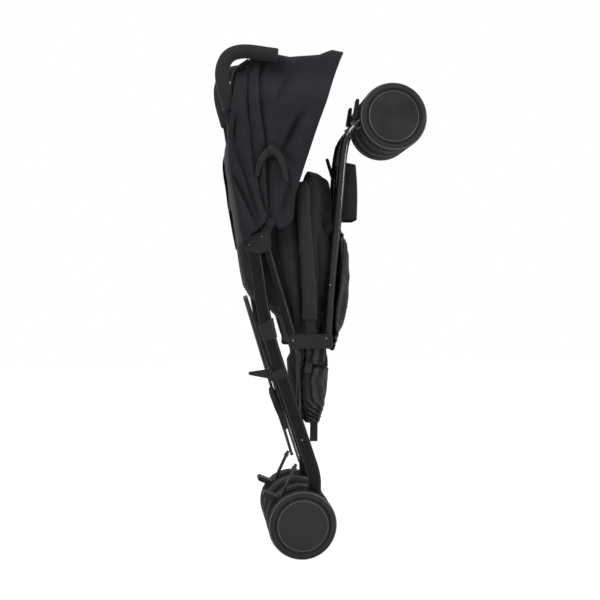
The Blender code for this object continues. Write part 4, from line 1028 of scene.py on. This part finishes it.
class STROLLER_OT_stretchers(bpy.types.Operator):
    """Elbow stretchers of the canopy"""

    bl_idname = "stroller.stretchers"
    bl_label = "Canopy stretchers"

    def execute(self, context):
        """Draw each arm as a flat band along a curve, with its pins."""
        low = WALL + 0.0062
        for tag, side in SIDES:
            rear = arched(((-0.1320, 0.7600), (-0.1275, 0.7800), (-0.1165, 0.8000), (-0.1020, 0.8105)),
                          (0.0042, 0.0055, 0.0065, 0.0085), low, low + 0.0031)
            pin = dome(-0.1320, 0.7600, low + 0.0031, 0.0028, 0.0012)
            fitted(f"stretcher_arm_rear_{tag}", [(rear, *CAPPED), pin], side, "plastic",
                   f"stretcher_rear_arm_{tag}", "plastic", f"stretcher_rear_{tag}")
            front = arched(((-0.1030, 0.8110), (-0.0900, 0.8005), (-0.0800, 0.7780), (-0.0730, 0.7500)),
                           (0.0085, 0.0065, 0.0055, 0.0040), low + 0.0034, low + 0.0062)
            pins = [dome(-0.1020, 0.8117, low + 0.0062, 0.0046, 0.0012),
                    dome(-0.0745, 0.7510, low + 0.0062, 0.0026, 0.0012)]
            fitted(f"stretcher_arm_front_{tag}", [(front, *CAPPED)] + pins, side, "plastic",
                   f"stretcher_front_arm_{tag}", "plastic", f"stretcher_front_{tag}")
        return {"FINISHED"}


# Seat cloth

# Rows of a bundle as height, rear x, front x and share of the full width
SEAT_ROWS = ((0.7805, -0.0215, -0.0125, 0.35), (0.776, -0.0235, 0.002, 0.50), (0.769, -0.026, 0.014, 0.65),
             (0.760, -0.0285, 0.0265, 0.75), (0.750, -0.065, 0.0285, 0.85), (0.735, -0.105, 0.030, 0.93),
             (0.720, -0.125, 0.032, 0.97), (0.698, -0.152, 0.031, 1.0), (0.675, -0.1745, 0.0300, 1.0),
             (0.634, -0.1690, 0.0270, 1.0), (0.573, -0.1610, 0.0240, 1.0), (0.5425, -0.1540, 0.0220, 1.0),
             (0.515, -0.138, 0.019, 0.97), (0.500, -0.106, 0.017, 0.92), (0.470, -0.077, 0.012, 0.90),
             (0.448, -0.071, 0.002, 0.90), (0.426, -0.067, -0.009, 0.85))

# Edges of the seat's side panels as (x, z), rear edge then front edge
WING_EDGES = (((-0.0700, 0.6950), (-0.0860, 0.6540), (-0.0830, 0.6150), (-0.0690, 0.5500),
               (-0.0560, 0.4950), (-0.0500, 0.4640)),
              ((-0.0600, 0.6950), (-0.0480, 0.6400), (-0.0460, 0.5900), (-0.0440, 0.5400),
               (-0.0420, 0.4950), (-0.0440, 0.4640)))
FLANK_EDGES = (((-0.0191, 0.6786), (-0.0162, 0.6334), (-0.0132, 0.6019), (-0.0122, 0.5705),
                (-0.0093, 0.5213), (-0.0063, 0.4997)),
               ((-0.0013, 0.6768), (0.0205, 0.6336), (0.0221, 0.6021), (0.0185, 0.5706),
                (0.0086, 0.5213), (-0.0013, 0.4997)))
SEAT_FOLDS = ((-0.070, 0.672, -0.050, 0.640, 0.0025, -0.0022),
              (-0.074, 0.668, -0.054, 0.634, 0.0025, -0.0022))


def bundle_grid(table, rear_y, front_y, rows, sides, depth, pitch, seed):
    """Rings of a gathered cloth bundle.

    At height z the ring runs round a rounded box from x0 to x1, as wide as rear_y at the back and
    front_y in front, and its distance from the centre line swings by depth with a wave every pitch.
    """
    t = np.array(table, float)
    z = np.linspace(t[0, 0], t[-1, 0], rows)
    x0, x1, full = (np.interp(-z, -t[:, 0], t[:, k]) for k in (1, 2, 3))
    turn = 2 * np.pi * np.arange(sides) / sides
    cx = np.sign(np.cos(turn)) * np.abs(np.cos(turn)) ** 0.45
    sy = np.sign(np.sin(turn)) * np.abs(np.sin(turn)) ** 0.45
    x = (x0[:, None] + x1[:, None]) / 2 + (x1 - x0)[:, None] / 2 * cx[None]
    blend_y = 1 / (1 + np.exp((x - 0.001) / 0.006))
    reach = (front_y + (rear_y - front_y) * blend_y) * full[:, None]
    y = reach * sy[None]
    around = np.cumsum(np.hypot(np.gradient(x, axis=1), np.gradient(y, axis=1)), axis=1)
    drift = 1.6 * noise(z * 11, z * 0, seed)[:, None]
    stray = 2.2 * noise(around * 22, z[:, None] * 7 + around * 0, seed + 1)
    wave = np.sin(around / pitch * 2 * np.pi + drift + stray)
    inward = -depth * (0.5 + 0.5 * wave)
    length = np.maximum(np.hypot(cx / np.maximum(x1 - x0, 1e-3)[:, None], sy / reach.clip(1e-3)), 1e-6)
    nx, ny = cx / np.maximum(x1 - x0, 1e-3)[:, None] / length, sy / reach.clip(1e-3) / length
    return np.stack([x + nx * inward, y + ny * inward, np.repeat(z[:, None], sides, axis=1)], axis=2)


def closed_bundle(grid):
    """Close a bundle's two ends with its end ring drawn in to 0.8, 0.45 and 0 of its size."""
    top, foot = grid[0], grid[-1]
    caps = []
    for ring, rise in ((top, 0.002), (foot, -0.002)):
        centre = ring.mean(axis=0)
        inner = [centre + (ring - centre) * s + [0, 0, rise * (1 - s)] for s in (0.8, 0.45, 0.0)]
        caps.append(np.array(inner))
    return np.concatenate([caps[0][::-1], grid, caps[1]])


class STROLLER_OT_seat(bpy.types.Operator):
    """Seat cloth with its side wings and flanks"""

    bl_idname = "stroller.seat"
    bl_label = "Seat cloth"

    def execute(self, context):
        """Gather the seat as one bundle, then swell a panel between two edges at its sides."""
        cloth = finish("seat_cloth")
        grid = closed_bundle(bundle_grid(SEAT_ROWS, 0.0620, 0.0340, 90, 180, 0.0026, 0.034, 21))
        made = piece("seat_sling", [(grid, *TUBE)], cloth, 70)
        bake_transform(made)
        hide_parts("seat_fabric_left", "seat_fabric_right")
        wings = (("seat_wing", WING_EDGES, 0.0640, 0.0085), ("seat_flank", FLANK_EDGES, 0.0400, 0.0065))
        for name, edges, base, height in wings:
            wing = self.panel(*edges, base, height)
            for tag, side in SIDES:
                made = fitted(f"{name}_{tag}", [(wing, *SHEET)], side, "seat_cloth",
                              f"frame_{tag}", "seat_cloth", sharp=60, thick=sizes().cloth)
        return {"FINISHED"}

    def panel(self, rear, front, base, height):
        """A cloth panel between two edges, raised by height sin(pi u)^0.6 sin(pi v)^0.35 over base."""
        u = np.linspace(0, 1, 26)
        plan = between(curve(rear, 60), curve(front, 60), u)
        x, z = plan[..., 0], plan[..., 1]
        v = np.linspace(0, 1, 60)[:, None]
        puff = height * np.sin(np.pi * u)[None] ** 0.6 * np.sin(np.pi * np.clip(v, 0.02, 0.98)) ** 0.35
        out = base + puff + creased(x, z, SEAT_FOLDS) + 0.0006 * noise(x * 90, z * 60, 8)
        return np.stack([x, -out, z], axis=2)


# Side bolsters

def puffed(made, pressure, cap, voxel=0.004, frames=20):
    """Blow a closed piece up a little with cloth pressure, move no point further than cap."""
    remesh = made.modifiers.new("even", "REMESH")
    remesh.mode = "VOXEL"
    remesh.voxel_size = voxel
    graph = bpy.context.evaluated_depsgraph_get()
    even = bpy.data.meshes.new_from_object(made.evaluated_get(graph))
    made.modifiers.clear()
    made.data = even
    start = np.array([v.co for v in even.vertices])
    cloth = made.modifiers.new("cloth", "CLOTH")
    cloth.settings.use_pressure = True
    cloth.settings.uniform_pressure_force = pressure
    cloth.settings.effector_weights.gravity = 0.0
    scene = bpy.context.scene
    for frame in range(1, frames + 1):
        scene.frame_set(frame)
    graph = bpy.context.evaluated_depsgraph_get()
    result = bpy.data.meshes.new_from_object(made.evaluated_get(graph))
    made.modifiers.clear()
    moved = np.array([v.co for v in result.vertices]) - start
    size = np.linalg.norm(moved, axis=1)[:, None]
    moved *= np.minimum(1.0, cap / np.maximum(size, 1e-9))
    result.vertices.foreach_set("co", (start + moved).ravel())
    made.data = result
    scene.frame_set(1)
    made.data.shade_smooth()
    return made


BOLSTER_LANE = 0.0728
BOLSTER_LINE = ((-0.0335, 0.7485), (-0.0345, 0.7000), (-0.0320, 0.6400), (-0.0265, 0.5800), (-0.0235, 0.5200),
                (-0.0225, 0.4700))


class STROLLER_OT_pads(bpy.types.Operator):
    """Padded side bolsters with their straps"""

    bl_idname = "stroller.pads"
    bl_label = "Side bolsters"

    def execute(self, context):
        """Sweep a superellipse along the bolster's line, blow it up and add its strap."""
        cloth = finish("pad_cloth")
        line = curve(BOLSTER_LINE, 60)
        share = [0, 0.03, 0.1, 0.3, 0.62, 0.64, 0.66, 0.9, 0.985, 1.0]
        wide = [0.006, 0.011, 0.0135, 0.0150, 0.0152, 0.0142, 0.0152, 0.0158, 0.0150, 0.0120]
        width = 1.07 * np.interp(np.linspace(0, 1, 60), share, wide)
        depth = np.interp(np.linspace(0, 1, 60), [0, 0.05, 0.15, 0.62, 0.64, 0.66, 0.95, 1.0],
                          [0.0028, 0.0052, 0.0062, 0.0062, 0.0052, 0.0062, 0.0058, 0.0040])
        for tag, side in SIDES:
            rings = swept(in_lane(line, BOLSTER_LANE), width, depth, 32, 2.4)
            made = piece(f"bolster_{tag}", mirrored([(rings, *CAPPED)], side), cloth, 80)
            puffed(made, 4.0, 0.0016)
            finish_piece(made, f"frame_{tag}", "seat_cloth", f"seat_pad_{tag}")
            if not made.data.materials:
                made.data.materials.append(cloth)
            strap = spread(np.array([[-0.0215, 0.4800], [-0.0195, 0.4350]]), 8)
            rings = swept(in_lane(strap, BOLSTER_LANE), 0.0098, 0.0014, 20, 5.0)
            fitted(f"bolster_strap_{tag}", [(rings, *CAPPED)], side, "webbing",
                   f"frame_{tag}", "seat_cloth", sharp=60)
        return {"FINISHED"}


# Basket and harness

BASKET_ROWS = ((0.411, -0.030, 0.0215, 0.62), (0.380, -0.031, 0.0235, 0.62), (0.371, -0.0315, 0.0238, 0.95),
               (0.345, -0.0325, 0.0205, 1.0), (0.309, -0.0335, 0.0180, 0.96), (0.292, -0.0320, 0.0160, 0.88),
               (0.276, -0.0300, 0.0115, 0.74), (0.256, -0.0270, 0.0075, 0.50))
FRONT_PANEL_ROWS = ((0.664, 0.044, 0.0470, 0.60), (0.650, 0.042, 0.0540, 0.85), (0.632, 0.040, 0.0605, 0.97),
                    (0.604, 0.038, 0.0655, 1.0), (0.560, 0.0345, 0.0668, 1.0), (0.520, 0.0320, 0.0655, 1.0),
                    (0.495, 0.0305, 0.0625, 1.0), (0.478, 0.0300, 0.0585, 1.0), (0.461, 0.0285, 0.0535, 1.0),
                    (0.444, 0.0285, 0.0450, 1.0), (0.425, 0.0290, 0.0410, 0.85),
                    (0.407, 0.0300, 0.0360, 0.55))
WEBBING_ROWS = ((0.412, -0.0490, -0.0230, 1.0), (0.398, -0.0560, -0.0230, 1.0),
                (0.387, -0.0620, -0.0240, 1.0), (0.360, -0.0600, -0.0240, 0.9),
                (0.300, -0.0450, -0.0250, 0.8), (0.262, -0.0350, -0.0250, 0.6))


class STROLLER_OT_baskets(bpy.types.Operator):
    """Hanging basket and its front panel, in thin nylon"""

    bl_idname = "stroller.baskets"
    bl_label = "Basket"

    def execute(self, context):
        """Gather both bundles, dent them towards their middle line by noise, and hang a tongue."""
        nylon = finish("basket_nylon")
        bag = ("basket_bag", BASKET_ROWS, 0.0590, 0.0060, 0.021, 31, "seat_frame", "basket")
        bib = ("basket_bib", FRONT_PANEL_ROWS, 0.0530, 0.0050, 0.026, 41, "front_frame", "basket_front")
        for name, table, rear, depth, pitch, seed, body, node in (bag, bib):
            grid = bundle_grid(table, rear, 0.0500, 70, 150, depth, pitch, seed)
            x, y, z = grid[..., 0], grid[..., 1], grid[..., 2]
            coarse = noise(z * 55 + y * 20, x * 60 + y * 25, seed + 2)
            rumple = coarse + 0.5 * noise(z * 120, x * 90 + y * 60, seed + 3)
            centre = grid.mean(axis=1, keepdims=True)
            away = grid - centre
            away[..., 2] = 0
            away = away / np.maximum(np.linalg.norm(away, axis=2)[..., None], 1e-6)
            grid = grid - away * (0.0016 + 0.0016 * rumple)[..., None]
            made = piece(name, [(closed_bundle(grid), *TUBE)], nylon, 70)
            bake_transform(made)
            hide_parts(f"{node}_left", f"{node}_right")
        tongue = spread(np.array([[-0.0050, 0.2800], [-0.0050, 0.2500], [-0.0056, 0.2145]]), 14)
        rings = swept(in_lane(tongue, 0.0), 0.0082, 0.0022, 20, 4.0)
        made = piece("basket_tongue", [(rings, *CAPPED)], finish("webbing"), 60)
        finish_piece(made, "seat_frame_right", "basket_nylon")
        return {"FINISHED"}


class STROLLER_OT_harness(bpy.types.Operator):
    """Folded harness webbing, its loose end and the strap bundle on the cross bar"""

    bl_idname = "stroller.harness"
    bl_label = "Harness"

    def execute(self, context):
        """Sweep three strands as one bundle, gather the folded webbing and add its loose end."""
        bundle = curve(((-0.0965, 0.3300), (-0.0925, 0.3150), (-0.0830, 0.2900), (-0.0740, 0.2690),
                        (-0.0680, 0.2450)), 40)
        straps = []
        lanes = 0.045 - (bundle[:, 1] - 0.184) / 0.332 * 0.090
        for aside, offset in ((0.0, 0.0), (-0.007, 0.0016), (0.007, -0.0020)):
            width = np.interp(np.linspace(0, 1, 40), [0, 0.1, 0.8, 1], [0.0030, 0.0050, 0.0058, 0.0040])
            path = in_lane(bundle + [offset, 0.4 * offset], 0.0)
            path[:, 1] = -(lanes + aside)
            straps.append((swept(path, width, 0.0050, 20, 3.0), *CAPPED))
        made = piece("strap_bundle", straps, finish("webbing"), 60)
        finish_piece(made, "cross_right", "seat_cloth")
        grid = closed_bundle(bundle_grid(WEBBING_ROWS, 0.0330, 0.0330, 40, 60, 0.0030, 0.016, 61))
        made = piece("folded_webbing", [(grid, *TUBE)], finish("webbing"), 60)
        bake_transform(made)
        corners = ((-0.0325, 0.3640), (-0.0180, 0.3625), (-0.0170, 0.3820), (-0.0300, 0.3860))
        end = plate(corners, 0.0600, 0.0622)
        made = piece("webbing_end", [(end, *CAPPED)], finish("hub"), 60)
        finish_piece(made, "seat_frame_right", "seat_cloth")
        return {"FINISHED"}


# Footrest

class STROLLER_OT_footrest(bpy.types.Operator):
    """Footrest band looped forward between the front legs"""

    bl_idname = "stroller.footrest"
    bl_label = "Footrest"

    def execute(self, context):
        """Lift a rounded line from the band's lower edge to its upper one, bulged by half a sine."""
        wall_y = FRONT_LANE - FRONT_R - 0.0016
        plan = rounded(((0.0450, -wall_y), (0.0803, -wall_y), (0.0803, wall_y), (0.0450, wall_y)), 0.008, 8)
        plan = spread(plan, 90)
        shares = np.linspace(0, 1, 30)
        grid = []
        for share in shares:
            top = 0.7990 - 0.006 * (plan[:, 0] - 0.045) / 0.035
            z = 0.6788 + (top - 0.6788) * share
            bulge = 0.0016 * math.sin(math.pi * share)
            x = plan[:, 0] + np.where(plan[:, 0] > 0.07, bulge, 0) - 0.002 * share ** 3
            grid.append(np.stack([x, plan[:, 1], z], axis=1))
        grid = np.array(grid)
        lip = grid[-1:].copy()
        lip[..., 0] = 0.045 + (lip[..., 0] - 0.045) * 0.90
        lip[..., 1] *= 0.88
        lip[..., 2] += 0.0008
        grid = np.concatenate([grid, lip])
        made = piece("footrest_band", [(grid, *SHEET)], finish("band_cloth"), 50, 0.0022)
        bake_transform(made)
        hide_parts("footrest_left", "footrest_right")
        return {"FINISHED"}


# Frame finishes and stage

class STROLLER_OT_finishes(bpy.types.Operator):
    """Finishes of the frame's own nodes that stay in view"""

    bl_idname = "stroller.finishes"
    bl_label = "Finishes"

    def execute(self, context):
        """Give every node still in view the material of its record slot."""
        slots = {part["node"]: part["material_slot"] for part in FRAME["record"]["subparts"]}
        for node, made in FRAME["nodes"].items():
            if made.hide_render:
                continue
            material = finish(slots[node])
            made.data.materials.clear()
            made.data.materials.append(material)
        return {"FINISHED"}


class STROLLER_OT_stage(bpy.types.Operator):
    """Floor, backdrop, lamps and camera"""

    bl_idname = "stroller.stage"
    bl_label = "Stage"

    def execute(self, context):
        """Show the camera a white world but light by a dimmer one; set floor, camera and lamps."""
        scene = context.scene
        scene.view_settings.view_transform = "Standard"
        world = bpy.data.worlds.new("studio")
        world.use_nodes = True
        scene.world = world
        tree = world.node_tree
        light = tree.nodes["Background"]
        light.inputs["Color"].default_value = (0.93, 0.95, 1.0, 1.0)
        light.inputs["Strength"].default_value = 0.42
        seen = tree.nodes.new("ShaderNodeBackground")
        seen.inputs["Color"].default_value = (1.0, 1.0, 1.0, 1.0)
        seen.inputs["Strength"].default_value = 1.0
        path = tree.nodes.new("ShaderNodeLightPath")
        mix = tree.nodes.new("ShaderNodeMixShader")
        link(tree, path, "Is Camera Ray", mix, "Fac")
        tree.links.new(light.outputs[0], mix.inputs[1])
        tree.links.new(seen.outputs[0], mix.inputs[2])
        link(tree, mix, "Shader", tree.nodes["World Output"], "Surface")

        ground = np.array([[[-6, -6, 0], [6, -6, 0]], [[-6, 6, 0], [6, 6, 0]]], float)
        floor = piece("floor", [(ground, *SHEET)], self.floor_paint())
        camera = bpy.data.cameras.new("camera")
        camera.lens = SENSOR * FOCAL_PIXELS / PICTURE_PIXELS
        camera.sensor_width = SENSOR
        shown = bpy.data.objects.new("camera", camera)
        turn = math.atan(CAMERA_SLOPE)
        across = -CAMERA_AWAY * math.sin(turn) + CAMERA_ASIDE + PLACE
        shown.location = (across, -CAMERA_AWAY * math.cos(turn), CAMERA_UP)
        shown.rotation_euler = (math.pi / 2, 0, -turn)
        scene.collection.objects.link(shown)
        scene.camera = shown
        lamps = (("key", (-1.4, -1.9, 2.9), 38.0, 1.1), ("side", (2.4, -1.2, 1.2), 20.0, 0.8),
                 ("rim", (0.8, 2.2, 2.4), 14.0, 1.2))
        for name, spot, power, size in lamps:
            lamp = bpy.data.lights.new(name, "AREA")
            lamp.energy = power
            lamp.size = size
            made = bpy.data.objects.new(name, lamp)
            made.location = spot
            made.rotation_euler = look_along(np.array([0, 0, 0.5]) - np.array(spot))
            scene.collection.objects.link(made)
        return {"FINISHED"}

    def floor_paint(self):
        """Pale paint that the camera sees as four parts glow to one of paint, so shadows stay."""
        made, tree, shade = shader("pale floor", (0.86, 0.86, 0.86), 0.9)
        glow = tree.nodes.new("ShaderNodeEmission")
        glow.inputs["Strength"].default_value = 1.25
        path = tree.nodes.new("ShaderNodeLightPath")
        share = tree.nodes.new("ShaderNodeMath")
        share.operation = "MULTIPLY"
        share.inputs[1].default_value = 0.80
        link(tree, path, "Is Camera Ray", share, 0)
        mix = tree.nodes.new("ShaderNodeMixShader")
        link(tree, share, "Value", mix, "Fac")
        tree.links.new(shade.outputs[0], mix.inputs[1])
        tree.links.new(glow.outputs[0], mix.inputs[2])
        link(tree, mix, "Shader", tree.nodes["Material Output"], "Surface")
        return made


def look_along(direction):
    """Euler angles that turn a lamp's -Z towards a direction: tilt from straight down, then turn."""
    x, y, z = direction / np.linalg.norm(direction)
    tilt = math.acos(max(-1.0, min(1.0, -z)))
    return (tilt, 0.0, math.atan2(-x, y))


# Panel and registration

class STROLLER_PT_panel(bpy.types.Panel):
    """Pieces of the stroller in building order"""

    bl_idname = "STROLLER_PT_panel"
    bl_label = "Umbrella stroller"
    bl_space_type = "VIEW_3D"
    bl_region_type = "UI"
    bl_category = "Stroller"

    def draw(self, context):
        """List the sizes, the colours and the pieces' operators."""
        layout = self.layout
        for group in (context.scene.stroller_sizes, context.scene.stroller_colours):
            column = layout.column()
            for name in group.bl_rna.properties.keys():
                if name not in ("rna_type", "name"):
                    column.prop(group, name)
        for operator in OPERATORS:
            layout.operator(operator.bl_idname)


OPERATORS = (STROLLER_OT_stage, STROLLER_OT_grips, STROLLER_OT_tubes, STROLLER_OT_fittings,
             STROLLER_OT_wheels, STROLLER_OT_canopy, STROLLER_OT_stretchers, STROLLER_OT_seat,
             STROLLER_OT_pads, STROLLER_OT_baskets, STROLLER_OT_harness, STROLLER_OT_footrest,
             STROLLER_OT_finishes)
CLASSES = (StrollerColours, StrollerSizes, *OPERATORS, STROLLER_PT_panel)


def register():
    """Register the classes and hang the settings on the scene."""
    for made in CLASSES:
        bpy.utils.register_class(made)
    bpy.types.Scene.stroller_colours = PointerProperty(type=StrollerColours)
    bpy.types.Scene.stroller_sizes = PointerProperty(type=StrollerSizes)


def unregister():
    """Undo register in reverse order."""
    del bpy.types.Scene.stroller_sizes
    del bpy.types.Scene.stroller_colours
    for made in reversed(CLASSES):
        bpy.utils.unregister_class(made)


def main():
    """Build every piece in order."""
    register()
    for operator in OPERATORS:
        group, name = operator.bl_idname.split(".")
        getattr(getattr(bpy.ops, group), name)()


if __name__ == "__main__":
    main()
